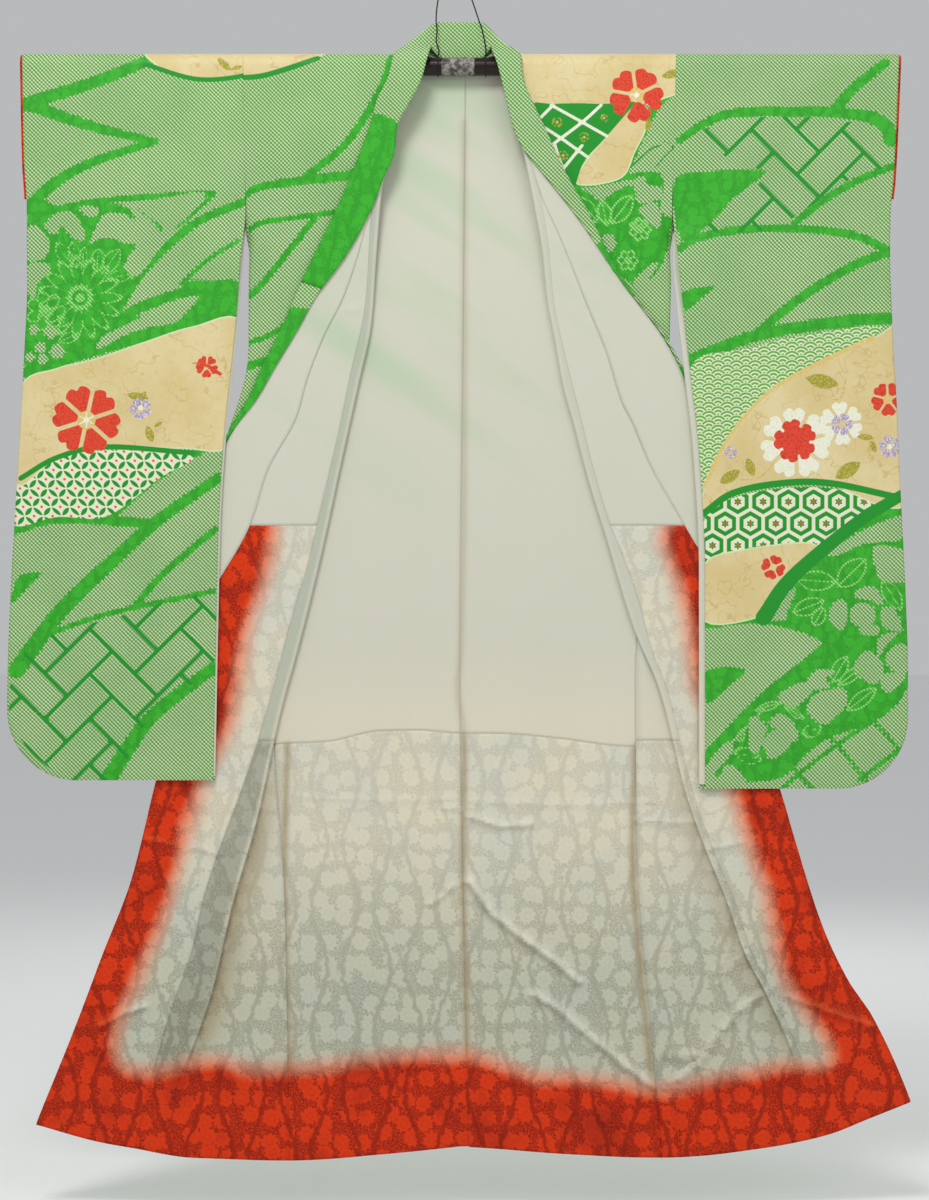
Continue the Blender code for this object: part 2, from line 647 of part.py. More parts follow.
def sleeve_grid(side, facing, levels, lift=outer_offset, shares=sleeve_shares, roll=0.0):
    """One face of the sleeve, from its body side to its outer edge. The lift is from the
    middle of the cloth, towards the outside."""
    lines = sides[side]
    bottom = lines["sleeve_bottom"]
    inward = outer_offset - lift
    grid = []
    for level in levels:
        inner = read(lines["sleeve_inner"], level)
        if facing > 0:
            inner -= lines["sleeve_back_reach"] * smooth((armhole_bottom - level) / armhole_fade)
        outer = read(lines["sleeve_outer"], level)
        above = min((level - bottom) / sleeve_corner_radius, 1.0)
        outer -= sleeve_corner_radius * (1 - math.sqrt(max(1 - (1 - above) ** 2, 0.0)))
        swing = smooth(-level / sleeve_swing_end)
        below = sleeve_front_depth if facing < 0 else -sleeve_back_depth
        hung = drape_radius + lift + (below - inward - drape_radius - lift) * swing
        depth_of_body = front_depth if facing < 0 else back_depth
        body = depth_of_body(level) + lift
        middle = -facing * (sleeve_front_depth + sleeve_back_depth) / 2
        seamed = middle + (outer_wall + seam_gap) / 2
        joined = 1 - smooth((-level - cuff_opening) / armhole_fade)
        closed = smooth((-level - cuff_opening) / cuff_fade)
        row = []
        for share in shares:
            across = inner + (outer - inner) * share + (roll if share == 1.0 else 0.0)
            depth = hung + (body - hung) * joined * (1 - smooth(share / armhole_share))
            if share == 1.0 or level == levels[-1] and share > 0:
                depth += (seamed - depth) * closed
            if level >= 0:
                row.append(hang(facing, across, level, lift, None))
            else:
                row.append((across, facing * depth, level))
        grid.append(row)
    return grid


def add_sleeve(side):
    mirrored = side == "left"
    levels = sleeve_levels(side)
    front = sleeve_grid(side, -1, levels)
    back = sleeve_grid(side, 1, levels)
    add_wall(f"sleeve_front_{side}", front, 0.0, outer_wall, "outer_cloth", mirrored)
    add_wall(f"sleeve_back_{side}", back, 0.0, outer_wall, "outer_cloth", mirrored)
    # the lining shows along the open body side and as a rolled edge at the cuff
    strip_levels = levels[:-len(sleeve_corner_turns)]
    strip = sleeve_grid(side, 1, strip_levels, lining_offset, sleeve_shares[:2])
    add_wall(f"sleeve_lining_{side}", strip, 0.0, lining_wall, "white_silk", mirrored)
    cuff_levels = [level for level in levels if level > -cuff_opening] + [cuff_roll - cuff_opening]
    halves = [
        sleeve_grid(side, facing, cuff_levels, lining_offset, sleeve_shares[-2:], cuff_roll)
        for facing in (-1, 1)
    ]
    edge = halves[0][::-1] + halves[1]
    add_wall(f"cuff_lining_{side}", edge, 0.0, lining_wall, "hem_silk", mirrored)


def add_cord(name, points, thickness, colour, closed=False):
    curve = bpy.data.curves.new(name, "CURVE")
    curve.dimensions = "3D"
    curve.bevel_depth = thickness / 2
    curve.bevel_resolution = 2
    curve.use_fill_caps = not closed
    spline = curve.splines.new("POLY")
    spline.points.add(len(points) - 1)
    for spot, point in zip(spline.points, points):
        spot.co = (*point, 1.0)
    spline.use_cyclic_u = closed
    obj = bpy.data.objects.new(name, curve)
    bpy.context.collection.objects.link(obj)
    curve.materials.append(material(colour))


def add_cords():
    """Each cord goes round the rod from its top, under it, and up behind it to the ring."""
    around = rod_radius + seam_gap + cord_diameter / 2
    for side, shape in cords.items():
        points = []
        for degrees in range(wrap_from, wrap_to, wrap_step):
            turn = math.radians(degrees)
            points.append((shape["wrap"], around * math.cos(turn), around * math.sin(turn)))
        lowest = cord_depths[0][0]
        highest = cord_depths[-1][0]
        for i in range(cord_steps + 1):
            height = lowest + (highest - lowest) * (i / cord_steps) ** cord_step_growth
            points.append((read(shape["across"], height), read(cord_depths, height), height))
        add_cord(f"cord_{side}", points, cord_diameter, "black_cord")
    x, y, z = ring_centre
    ring = []
    for i in range(ring_steps):
        turn = 2 * math.pi * i / ring_steps
        ring.append((x + ring_radius * math.cos(turn), y, z + ring_radius * math.sin(turn)))
    add_cord("hanging_ring", ring, ring_wire_radius * 2, "ring_metal", closed=True)


def add_tube(name, radius, wall, half_length, middle, colour):
    """A round tube along X, or a rod where it has no bore."""
    turns = [2 * math.pi * i / round_sides for i in range(round_sides)]
    mesh = bpy.data.meshes.new(name)
    points = []
    faces = []
    radii = (radius,) if wall is None else (radius, radius - wall)
    for ring_size in radii:
        for x in (middle - half_length, middle + half_length):
            points += [(x, ring_size * math.cos(t), ring_size * math.sin(t)) for t in turns]
    n = round_sides
    for i in range(n):
        j = (i + 1) % n
        faces.append((i, j, n + j, n + i))
        if wall is not None:
            faces.append((2 * n + j, 2 * n + i, 3 * n + i, 3 * n + j))
            faces.append((j, i, 2 * n + i, 2 * n + j))
            faces.append((n + i, n + j, 3 * n + j, 3 * n + i))
    if wall is None:
        faces.append(tuple(range(n - 1, -1, -1)))
        faces.append(tuple(range(n, 2 * n)))
    mesh.from_pydata(points, [], faces)
    mesh.update()
    mesh.shade_smooth()
    obj = bpy.data.objects.new(name, mesh)
    bpy.context.collection.objects.link(obj)
    mesh.materials.append(material(colour))
    return obj


def add_rod():
    add_tube("rod", rod_radius, None, rod_half_length, 0.0, "rod_lacquer")
    film_radius = rod_radius + film_gap + film_wall
    add_tube("film_wrap", film_radius, film_wall, film_half_length, film_middle, "clear_film")


clear_scene()
for side_name in sides:
    add_body(side_name)
    add_sleeve(side_name)
add_collar()
add_rod()
add_cords()
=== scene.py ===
import math

import bpy
import numpy as np
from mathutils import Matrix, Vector


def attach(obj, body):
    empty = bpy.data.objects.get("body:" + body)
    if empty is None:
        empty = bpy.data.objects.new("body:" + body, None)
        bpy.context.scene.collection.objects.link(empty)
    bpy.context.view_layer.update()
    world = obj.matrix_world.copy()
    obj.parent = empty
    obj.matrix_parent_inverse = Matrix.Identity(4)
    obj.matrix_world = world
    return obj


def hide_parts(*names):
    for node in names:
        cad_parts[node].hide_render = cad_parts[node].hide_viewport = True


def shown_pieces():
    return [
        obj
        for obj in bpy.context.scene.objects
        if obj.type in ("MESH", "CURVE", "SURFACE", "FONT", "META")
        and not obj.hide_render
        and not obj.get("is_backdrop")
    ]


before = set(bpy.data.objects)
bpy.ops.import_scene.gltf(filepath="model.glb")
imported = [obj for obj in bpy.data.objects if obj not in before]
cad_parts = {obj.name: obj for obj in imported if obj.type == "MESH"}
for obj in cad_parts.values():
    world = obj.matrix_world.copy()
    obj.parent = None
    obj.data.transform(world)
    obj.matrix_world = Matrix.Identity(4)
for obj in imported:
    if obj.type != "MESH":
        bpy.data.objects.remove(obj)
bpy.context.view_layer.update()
print("frame loaded:", len(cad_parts), "nodes")

# The camera stands where the picture was taken: level, in front, a little right of the middle
cameraPlace = dict(
    x=0.00675,
    height=-0.80175,       # half way down the garment
    distance=4.2,          # to the cloth
    clothDepth=-0.010,
    frameHeight=1.8,       # what the frame takes in at the cloth
    sensor=36.0,
)


def addCamera():
    data = bpy.data.cameras.new("camera")
    data.sensor_width = cameraPlace["sensor"]
    data.lens = cameraPlace["sensor"] * cameraPlace["distance"] / cameraPlace["frameHeight"]
    camera = bpy.data.objects.new("camera", data)
    bpy.context.scene.collection.objects.link(camera)
    depth = cameraPlace["clothDepth"] - cameraPlace["distance"]
    camera.location = (cameraPlace["x"], depth, cameraPlace["height"])
    camera.rotation_euler = (math.radians(90), 0, 0)
    bpy.context.scene.camera = camera


addCamera()

# How the cloth drapes: one radius over the rod, then the layers fall together below it
drape = dict(
    radius=0.0175,
    overRodStep=0.0025,     # between the rows that go over the rod
    fallLength=0.40,
    backRest=0.00335,
    frontRest=0.00225,
    layerStep=0.0056,
)
cloth = dict(
    outerFace=0.00125,      # from the middle of the two layers to each face
    outerTurn=0.00035,
    liningFace=-0.00125,
    liningTurn=-0.00045,
    sleeveLift=0.00065,
    turnWidth=0.004,        # what is turned under at an edge
    seamGap=0.00004,        # the sewn edges meet
    layerGap=0.0003,
    narrowest=0.0006,       # the okumi's width where its two seams meet
)
garment = dict(
    frontWidth=0.232,
    cuffOpening=0.205,
    cornerRadius=0.105,
    cornerRows=30,
    sleeveFrontDepth=0.0190,
    sleeveBackDepth=0.0150,
    sleeveSwing=0.46,
    sleeveJoin=0.05,        # how soon the sleeve meets the armhole above its lower end
    hemLevel=-1.62,
    hemLiningTop=-1.013,
    okumiLiningTop=-0.69,
    armholeFade=0.10,
    armholeShare=0.3,
    cuffFade=0.03,
    cuffRoll=0.0035,
    edgeRoll=0.013,
    edgeLift=0.00075,
    edgeStart=0.04,
    armholeBottom=-0.215,
    curlHeight=0.115,
    seamLap=0.002,
    hiddenTop=-0.42,
    hiddenHeight=0.16,
    openingTop=-1.36,
    hemDropTop=-1.30,
    hemRoll=0.002,
    hemRollHeight=0.012,
    openWide=0.7,           # how soon a front opens out of its folds towards the hem
    openFlat=1.4,           # and how soon it falls flat
    neckColumns=17,
    leastRow=0.001,
)

collarSizes = dict(
    step=0.0043,
    bend=0.0026,
    lipStep=0.0020,
    lipWidth=0.0030,
    wall=0.0012,
    overWall=0.0010,
    liningWall=0.0010,
    overEnd=-0.34,
    liningTop=dict(left=-0.20, right=-0.10),
    rowStep=0.005,
    face=0.0006,
    turn=-0.0003,
    turnWidth=0.003,
    turnedUnder=0.0007,
    neckSteps=9,            # from one station round the neck to the next
    columns=14,             # across each half of the strip
    foldSteps=13,
    liningColumns=16,
)
foldRadius = drape["layerStep"] / 2
shoulderLevel = drape["radius"] * math.pi / 2 - cloth["layerGap"] / 2

# Each line of the garment in millimetres: (level, distance from the middle)
lines = {
    "left": dict(
        middle=((30, -9), (-400, -5), (-900, 0), (-1200, -4), (-1620, -13.5)),
        armhole=((30, 325), (-215, 320.5), (-330, 316.5), (-450, 317)),
        sideSeam=((-330, 316.5), (-500, 315), (-742, 288), (-1020, 280), (-1250, 264), (-1620, 256.5)),
        fold=((30, 47), (-22, 59), (-58, 77), (-92, 94.5), (-130, 99.5), (-176, 116.5), (-277, 126),
            (-382, 133.5), (-482, 154.5), (-577, 175.5), (-742, 211.5), (-869, 243), (-968, 270),
            (-1132, 306), (-1252, 340.5), (-1414, 380), (-1537, 430), (-1620, 465)),
        okumiSeam=((-200, 130.4), (-225, 133.7), (-349, 141), (-482, 168), (-563, 184.5), (-670, 210),
            (-742, 226.5), (-839, 255), (-952, 285), (-1037, 310.5), (-1252, 385.5), (-1319, 400),
            (-1447, 445), (-1620, 489)),
        collarSeam=((30, 53), (-22, 65), (-58, 83), (-92, 100.5), (-130, 106), (-176, 124), (-221, 136),
            (-286, 153), (-350, 175.5), (-403, 202.5), (-472, 229.5), (-526, 244.5), (-610, 289.5),
            (-686, 313.5), (-787, 370.5)),
        frontEdge=((-787, 370.5), (-862, 396), (-952, 423), (-1072, 456), (-1222, 493.5), (-1343, 540),
            (-1620, 637.5)),
        hem=((0, -1621.5), (117, -1634), (259.5, -1643), (399, -1639), (489, -1625), (540, -1616),
            (637.5, -1589)),
        sleeveInner=((30, 325.7), (-100, 323.3), (-160, 322.2), (-215, 321.4), (-289, 328.5), (-391, 336),
            (-565, 354), (-689, 361.5), (-834, 365), (-1072, 369.5)),
        sleeveOuter=((30, 656), (-143, 652.5), (-212, 648.6), (-325, 648), (-463, 654), (-608, 662.4),
            (-689, 666.8), (-820, 674), (-960, 677.7), (-1072, 677.7)),
        okumiTop=-200, sleeveBackReach=3, sleeveBottom=-1071.5,
    ),
    "right": dict(
        middle=((30, 9), (-400, 5), (-900, 0), (-1200, 4), (-1620, 13.5)),
        armhole=((30, 324), (-215, 318), (-330, 316), (-450, 313)),
        sideSeam=((-330, 316), (-500, 308), (-742, 280), (-922, 264), (-1169, 266), (-1297, 273),
            (-1427, 286.5), (-1620, 303)),
        fold=((30, 48.5), (-22, 63.5), (-91, 80), (-122, 93.5), (-160, 102), (-205, 111), (-277, 124),
            (-352, 132), (-416, 144), (-482, 156), (-547, 174), (-611, 190.5), (-709, 220.5), (-842, 261),
            (-940, 301.5), (-1094, 340.5), (-1175, 369), (-1252, 400.5), (-1330, 427.5), (-1390, 459),
            (-1498, 505.5), (-1620, 535)),
        okumiSeam=((-190, 119.9), (-215, 124), (-277, 133), (-352, 140), (-449, 160.5), (-514, 177),
            (-596, 197), (-686, 223.5), (-733, 243), (-806, 268.5), (-875, 286.5), (-940, 311),
            (-1094, 350), (-1175, 378.5), (-1252, 410), (-1330, 437), (-1390, 468), (-1498, 512),
            (-1620, 543)),
        collarSeam=((30, 54.5), (-22, 69.5), (-91, 86), (-122, 100), (-160, 109.5), (-205, 125),
            (-250, 146), (-295, 165), (-352, 187.5), (-433, 220.5), (-505, 243), (-538, 259.5),
            (-602, 286.5), (-668, 324), (-724, 357)),
        frontEdge=((-724, 357), (-802, 382.5), (-937, 427.5), (-1090, 481.5), (-1156, 501), (-1288, 543),
            (-1372, 580.5), (-1442, 618), (-1620, 678)),
        hem=((0, -1621.5), (46.5, -1625), (172.5, -1634), (303, -1639), (453, -1625), (547.5, -1606),
            (622.5, -1577), (678, -1555)),
        sleeveInner=((30, 324.7), (-100, 321.7), (-160, 320.2), (-215, 318.9), (-281, 326), (-368, 334.5),
            (-463, 345), (-580, 358), (-761, 366.9), (-1076, 366.9)),
        sleeveOuter=((30, 658.5), (-173, 649), (-216, 644.6), (-274, 643.5), (-398, 647.5), (-514, 654),
            (-631, 659), (-797, 667), (-907, 670.5), (-1080, 670.5)),
        okumiTop=-190, sleeveBackReach=9, sleeveBottom=-1084,
    ),
}

for own in lines.values():
    for name, value in own.items():
        inMetres = [(a / 1000, b / 1000) for a, b in value] if isinstance(value, tuple) else value / 1000
        own[name] = inMetres

# How far round the rod the back's neckline reaches, as a share of a quarter turn
neckline = ((0.0, 0.03), (0.021, 0.12), (0.030, 0.34), (0.039, 0.66), (0.047, 1.0))

# The collar round the neck: its sewn base, the fold along its middle and its free edge, each (x, y, z)
# in millimetres
collarNeck = {
    "left": (
        ((0, 20, -2), (0, 17.8, 68), (0, 14.2, 13)),
        ((15, 20, -2), (19, 17.6, 68.2), (14.5, 14.2, 13)),
        ((29, 19.2, 6), (37, 16.5, 67), (27, 13.7, 14)),
        ((44, 13.5, 17), (59, 10.5, 50), (37, 9, 21)),
        ((54.5, 1.8, 23.2), (79, -1, 32), (43, -2, 27.5)),
        ((57.8, -16.3, 16.3), (96, -16.3, 16.3), (46, -23.2, 17.6)),
    ),
    "right": (
        ((0, 20, -2), (0, 17.8, 68), (0, 14.2, 13)),
        ((17, 20, -2), (18, 17.6, 68), (16.5, 14.2, 13)),
        ((33, 19, 7), (35, 16.5, 67), (31, 13.7, 14)),
        ((46, 13, 17.5), (54, 10.5, 47), (41, 9, 21.5)),
        ((56, 1.8, 23.2), (70, -1, 31), (45.5, -2, 28)),
        ((60.2, -16.3, 16.3), (88.5, -16.3, 16.3), (49, -23.2, 17.6)),
    ),
}
# Down the fronts, in millimetres: level of the base, fold x and z, free edge x and z, and the share
# that is turned in
collarFront = {
    "left": (
        (0, 101, -1, 51, 0, 1), (-22, 106, -20, 57, -22, 1), (-58, 123, -56, 75, -58, 1),
        (-92, 132, -90, 93, -92, 1), (-130, 147, -130, 97.5, -130, 1), (-180, 169, -185, 114.5, -172, 1),
        (-228, 192, -234, 135, -222, 1), (-290, 217.5, -286, 169.5, -284, 1),
        (-350, 243, -338, 217.5, -350, 1), (-403, 266, -391, 244, -398, 1), (-472, 296, -450, 279, -456, 1),
        (-532, 318, -500, 306, -506, 0.8), (-610, 351, -557, 347, -560, 0.2),
        (-686, 398, -640, 396, -642, 0), (-740, 428, -705, 426, -706, 0), (-787, 450, -770, 448, -770, 0),
    ),
    "right": (
        (0, 90.5, -4, 55.5, 0, 1), (-22, 94.5, -28, 61.5, -22, 1), (-58, 107.5, -58, 70, -58, 1),
        (-91, 128, -101, 78, -91, 1), (-125, 148, -145, 93, -125, 1), (-172, 170, -186, 118.5, -157, 1),
        (-212, 190.5, -221, 145.5, -190, 1), (-252, 208.5, -257, 174, -226, 1),
        (-308, 240, -317, 223, -296, 1), (-352, 270, -357, 258, -344, 0.9),
        (-433, 310.5, -410, 303, -402, 0.4), (-505, 342, -469, 338, -466, 0.1),
        (-602, 375, -555, 373, -554, 0), (-668, 400, -630, 398, -630, 0), (-724, 420, -700, 418, -700, 0),
    ),
}


def smooth(value):
    value = np.clip(value, 0.0, 1.0)
    return value * value * (3 - 2 * value)


def along(table, level):
    # the table's value at each level, on a smooth curve through its rows
    rows = sorted(table)
    x = np.array([row[0] for row in rows], float)
    y = np.array([row[1] for row in rows], float)
    step = np.diff(y) / np.diff(x)
    product = step[:-1] * step[1:]
    total = step[:-1] + step[1:]
    inner = np.where(product > 0, 2 * product / np.where(product > 0, total, 1.0), 0.0)
    lean = np.concatenate([step[:1], inner, step[-1:]])
    level = np.clip(np.asarray(level, float), x[0], x[-1])
    i = np.clip(np.searchsorted(x, level, side="right") - 1, 0, len(x) - 2)
    width = x[i + 1] - x[i]
    t = (level - x[i]) / width
    return (
        y[i] * (1 + 2 * t) * (1 - t) ** 2
        + lean[i] * width * t * (1 - t) ** 2
        + y[i + 1] * t * t * (3 - 2 * t)
        + lean[i + 1] * width * t * t * (t - 1)
    )


def curved(a, b, c, d, t):
    # a point between b and c on the smooth curve through all four
    return 0.5 * (
        2 * b + (c - a) * t + (2 * a - 5 * b + 4 * c - d) * t ** 2 + (3 * b - a - 3 * c + d) * t ** 3
    )


pixel = 0.0015                      # what one picture pixel is on the garment, in metres
pictureCorner = (-0.690, 0.09825)   # where the picture's top left corner lies


def picturePlace(x, z):
    return (x - pictureCorner[0]) / pixel, (pictureCorner[1] - z) / pixel


# The main creases of the lining: points in picture pixels, height in millimetres and half width in pixels
# each crease also gets a painted highlight on its upper side and a painted shade on its lower side
creaseSizes = dict(height=0.0022, width=0.75, shadeWidth=1.2, fullShade=2.0)
creases = (
    (((470, 883), (491, 914), (522, 939), (553, 961), (578, 983)), 2.6, 5),
    (((534, 996), (559, 1011), (591, 1039), (625, 1067), (653, 1089)), 2.2, 5),
    (((678, 1083), (700, 1064), (725, 1030), (741, 1011), (762, 996)), 2.2, 4.5),
    (((719, 986), (731, 967), (747, 953)), 1.6, 3.5),
    (((714, 978), (727, 959), (741, 947)), 1.2, 3),
    (((789, 997), (825, 1011), (872, 1027)), 2, 4),
    (((469, 817), (500, 827), (531, 825)), 1.6, 4),
    (((637, 821), (668, 824), (694, 822)), 1.2, 3),
    (((706, 849), (725, 846), (744, 842)), 1.2, 3),
    (((100, 1027), (122, 1014), (144, 1007)), 2, 4),
    (((144, 839), (160, 843), (175, 846)), 1.4, 3),
    (((194, 847), (205, 850), (216, 855)), 1.2, 3),
    (((431, 905), (444, 896), (453, 886)), 1.3, 3.5),
    (((444, 808), (453, 809), (462, 811)), 1.2, 3),
    (((345, 309), (353, 308), (360, 309)), 0.6, 2),
    (((343, 314), (352, 312), (361, 314)), 0.6, 2),
    (((300, 797), (380, 801), (455, 799)), 0.5, 4),
    (((470, 801), (560, 806), (640, 803)), 0.5, 4),
)

# Two sets of slow waves in the hanging cloth
bodyWaves = dict(
    top=-0.35,              # where they start
    full=-1.10,
    height=0.0011,
    across=0.21,
    lean=(0.35, 3.1, 0.0),
    second=0.6,
    crossing=0.137,
    down=0.74,
    start=0.2,
)
sleeveWaves = dict(
    fade=0.25,
    inner=0.325,            # they fade out towards the armhole
    innerFade=0.04,
    height=0.0007,
    across=0.19,
    lean=(0.28, 4.3, 1.0),
    second=0.7,
    crossing=0.11,
    down=0.63,
    start=0.0,
)


def slowWaves(x, z, sizes):
    lean, turns, shift = sizes["lean"]
    waves = np.sin(2 * math.pi * (x / sizes["across"] + lean * np.sin(z * turns + shift)))
    crossing = x / sizes["crossing"] - z / sizes["down"] + sizes["start"]
    return waves + sizes["second"] * np.sin(2 * math.pi * crossing)


def slowRelief(x, z):
    # what the cloth stands towards the viewer, the same for every layer of the body
    share = smooth((bodyWaves["top"] - z) / (bodyWaves["top"] - bodyWaves["full"]))
    return bodyWaves["height"] * share * slowWaves(x, z, bodyWaves)


def sleeveRelief(x, z):
    share = smooth(-z / sleeveWaves["fade"])
    share *= smooth((np.abs(x) - sleeveWaves["inner"]) / sleeveWaves["innerFade"])
    return sleeveWaves["height"] * share * slowWaves(x, z, sleeveWaves)


def creasesAt(x, z):
    # how far the creases stand out, and a painted highlight (to 1) on their upper sides and shade (to -1)
    # below
    px, py = picturePlace(x, z)
    height, litOrShadedSide = np.zeros(x.shape), np.zeros(x.shape)
    for points, size, width in creases:
        near, below = np.full(x.shape, 1e3), np.zeros(x.shape)
        for (ax, ay), (bx, by) in zip(points, points[1:]):
            dx, dy = bx - ax, by - ay
            t = np.clip(((px - ax) * dx + (py - ay) * dy) / (dx * dx + dy * dy), 0, 1)
            away = np.hypot(px - ax - t * dx, py - ay - t * dy)
            below = np.where(away < near, py - ay - t * dy, below)
            near = np.minimum(near, away)
        height += creaseSizes["height"] * size * np.exp(-(near / (creaseSizes["width"] * width)) ** 2)
        side = below / (np.abs(below) + 1)
        shade = np.exp(-(near / (creaseSizes["shadeWidth"] * width)) ** 2)
        litOrShadedSide -= size / creaseSizes["fullShade"] * shade * side
    return height, np.clip(litOrShadedSide, -1, 1)


def liningRelief(x, z):
    # the lining has its creases besides, all of them towards the viewer
    return slowRelief(x, z) + creasesAt(x, z)[0]


def nearRod(level):
    return (1 + np.cos(math.pi * np.clip(-np.asarray(level) / drape["fallLength"], 0, 1))) / 2


def frontDepth(level):
    return drape["frontRest"] + (drape["radius"] - drape["frontRest"]) * nearRod(level)


def backDepth(level):
    return drape["backRest"] + (drape["radius"] - drape["backRest"]) * nearRod(level)


def behind(level):
    return -(frontDepth(level) + backDepth(level))


def hang(facing, across, level, lift, depth, drop=0.0):
    # points of the cloth: round the rod where the level is above 0, and straight down below that
    across, level, lift, depth, drop = np.broadcast_arrays(across, level, lift, depth, drop)
    angle = np.maximum(level, 0) / drape["radius"]
    reach = drape["radius"] + lift
    y = np.where(level >= 0, reach * np.cos(angle), depth + lift)
    z = np.where(level >= 0, reach * np.sin(angle), level + drop)
    return np.stack([across, facing * y, z], axis=-1)


def hemDrop(side, across, level):
    hem = garment["hemLevel"]
    share = smooth((garment["hemDropTop"] - level) / (garment["hemDropTop"] - hem))
    return share * (along(lines[side]["hem"], across) - hem)


def opening(level):
    share = smooth((level - garment["openingTop"]) / (garment["hemLevel"] - garment["openingTop"]))
    return share ** garment["openWide"], share ** garment["openFlat"]


def sideEdge(side, level):
    armhole = along(lines[side]["armhole"], level)
    seam = along(lines[side]["sideSeam"], level)
    seam = np.minimum(seam, armhole + behind(level) / 2 - garment["seamLap"])
    return armhole + (seam - armhole) * smooth((garment["armholeBottom"] - level) / garment["curlHeight"])


def levelsBetween(top, bottom, step):
    count = max(int(round((top - bottom) / step)), 1)
    return np.linspace(top, bottom, count + 1)


def bodyLevels(top, bottom, steps):
    # rows down the body: round the rod first, then by the step of each stretch (lowest level, step)
    parts = []
    if top > 0:
        parts.append(levelsBetween(top, 0.0, drape["overRodStep"])[:-1])
        top = 0.0
    for lowest, step in steps:
        end = max(lowest, bottom)
        if end < top:
            parts.append(levelsBetween(top, end, step)[:-1])
            top = end
    parts.append(np.array([bottom]))
    return np.concatenate(parts)


bowHeight = 0.10
liningBow = (
    (-0.29, -0.006), (-0.2, -0.002), (-0.12, 0.014), (-0.06, 0.015), (0, 0.0105), (0.056, 0.0102),
    (0.15, 0.0026), (0.234, -0.008), (0.32, -0.011),
)


def bowSeam(grid, mirrored):
    # the seam between the upper and the lower lining rises in a low arch
    across = grid[..., 0] * (-1 if mirrored else 1)
    near = np.exp(-((grid[..., 2] - garment["hemLiningTop"]) / bowHeight) ** 2)
    grid = grid.copy()
    grid[..., 2] += along(liningBow, across) * near
    return grid


def hemRoll(level, roll):
    height = garment["hemRollHeight"]
    return -roll * smooth((garment["hemLevel"] + height - level) / height)


def backGrid(side, levels, spacing, roll=0.0):
    level = levels[:, None]
    middle = along(lines[side]["middle"], levels)[:, None] + cloth["seamGap"] / 2
    reach = sideEdge(side, levels)[:, None] - cloth["seamGap"] / 2
    neck = neckline[-1][0]
    near = np.linspace(0, 1, garment["neckColumns"])[None, :-1]
    far = np.linspace(0, 1, int((reach.max() - neck) / spacing) + 2)[None, :]
    across = np.concatenate([middle + (neck - middle) * near, neck + (reach - neck) * far], axis=1)
    # the neckline is lower than the shoulder and lies behind the rod
    high = np.where(level > 0, level * along(neckline, across), level)
    drop = hemDrop(side, across, level) + hemRoll(level, roll)
    return hang(1, across, high, 0.0, backDepth(level), drop)


def curlPoints(level, start, length, share, steps):
    # the front's side edge as it rolls back to meet the back at the side seam
    angle = math.pi * share
    arc = math.pi * -behind(level) / 2
    turns = np.linspace(0, 1, steps["curl"] + 1)
    if angle < 0.01:
        points = [(start + arc * t, 0.0) for t in turns]
    else:
        radius = arc / angle
        points = [
            (start + radius * math.sin(angle * t), -radius * (1 - math.cos(angle * t))) for t in turns
        ]
    x, y = points[-1]
    for t in np.linspace(0, 1, steps["tail"] + 1)[1:]:
        points.append((x + t * length * math.cos(angle), y - t * length * math.sin(angle)))
    points = np.array(points)
    deepest = points[:, 1].min()
    if deepest < behind(level):
        points[:, 1] *= behind(level) / deepest
    return points[::-1]


def frontSection(side, level, steps):
    # out behind itself, in at the hidden fold, and out again at the open fold
    own = lines[side]
    gap = cloth["seamGap"] / 2
    fold = float(along(own["fold"], level))
    seam = float(sideEdge(side, level)) + gap
    end = float(along(own["collarSeam"], level))
    if level < own["okumiTop"]:
        end = min(end, float(along(own["okumiSeam"], level)))
    if level < min(row[0] for row in own["collarSeam"]):
        end = float(along(own["okumiSeam"], level))
    end -= gap
    shown = float(along(own["armhole"], level))
    curled = float(smooth((garment["armholeBottom"] - level) / garment["curlHeight"]))
    turn = -float(behind(level)) / 2
    wide = (garment["frontWidth"] + seam + 2 * fold - end) / 2
    hidden = float(smooth((garment["hiddenTop"] - level) / garment["hiddenHeight"]))
    reach = shown + (wide - shown) * hidden
    uncurled = shown - gap - math.pi * turn - garment["seamLap"]
    length = max(garment["seamLap"], (reach - turn - seam) * curled)
    start = uncurled + (reach - turn - uncurled) * curled
    section = [curlPoints(level, start, length, curled, steps)]
    inner = fold + foldRadius
    across = start + (inner - start) * np.linspace(0, 1, steps["panel"] + 1)[1:-1]
    section.append(np.stack([across, np.zeros(across.shape)], axis=1))
    turns = np.radians(np.linspace(90, -90, steps["fold"] + 1))
    arc = (inner - foldRadius * np.cos(turns), foldRadius * (1 - np.sin(turns)))
    section.append(np.stack(arc, axis=1))
    across = inner + (end - inner) * np.linspace(0, 1, steps["strip"] + 1)[1:]
    section.append(np.stack([across, np.full(across.shape, drape["layerStep"])], axis=1))
    section = np.concatenate(section)
    lengths = np.concatenate([[0], np.cumsum(np.hypot(*np.diff(section, axis=0).T))])
    opened, flattened = opening(level)
    flat = seam + (end - seam) * lengths / lengths[-1]
    x = section[:, 0] + (flat - section[:, 0]) * opened
    y = section[:, 1] + (behind(level) - section[:, 1]) * flattened
    return x, y


def frontGrid(side, levels, steps, roll=0.0):
    rows = [frontSection(side, level, steps) for level in levels]
    across = np.array([row[0] for row in rows])
    lift = np.array([row[1] for row in rows])
    level = levels[:, None]
    drop = hemDrop(side, across, level) + hemRoll(level, roll)
    return hang(-1, across, level, lift, frontDepth(level), drop)


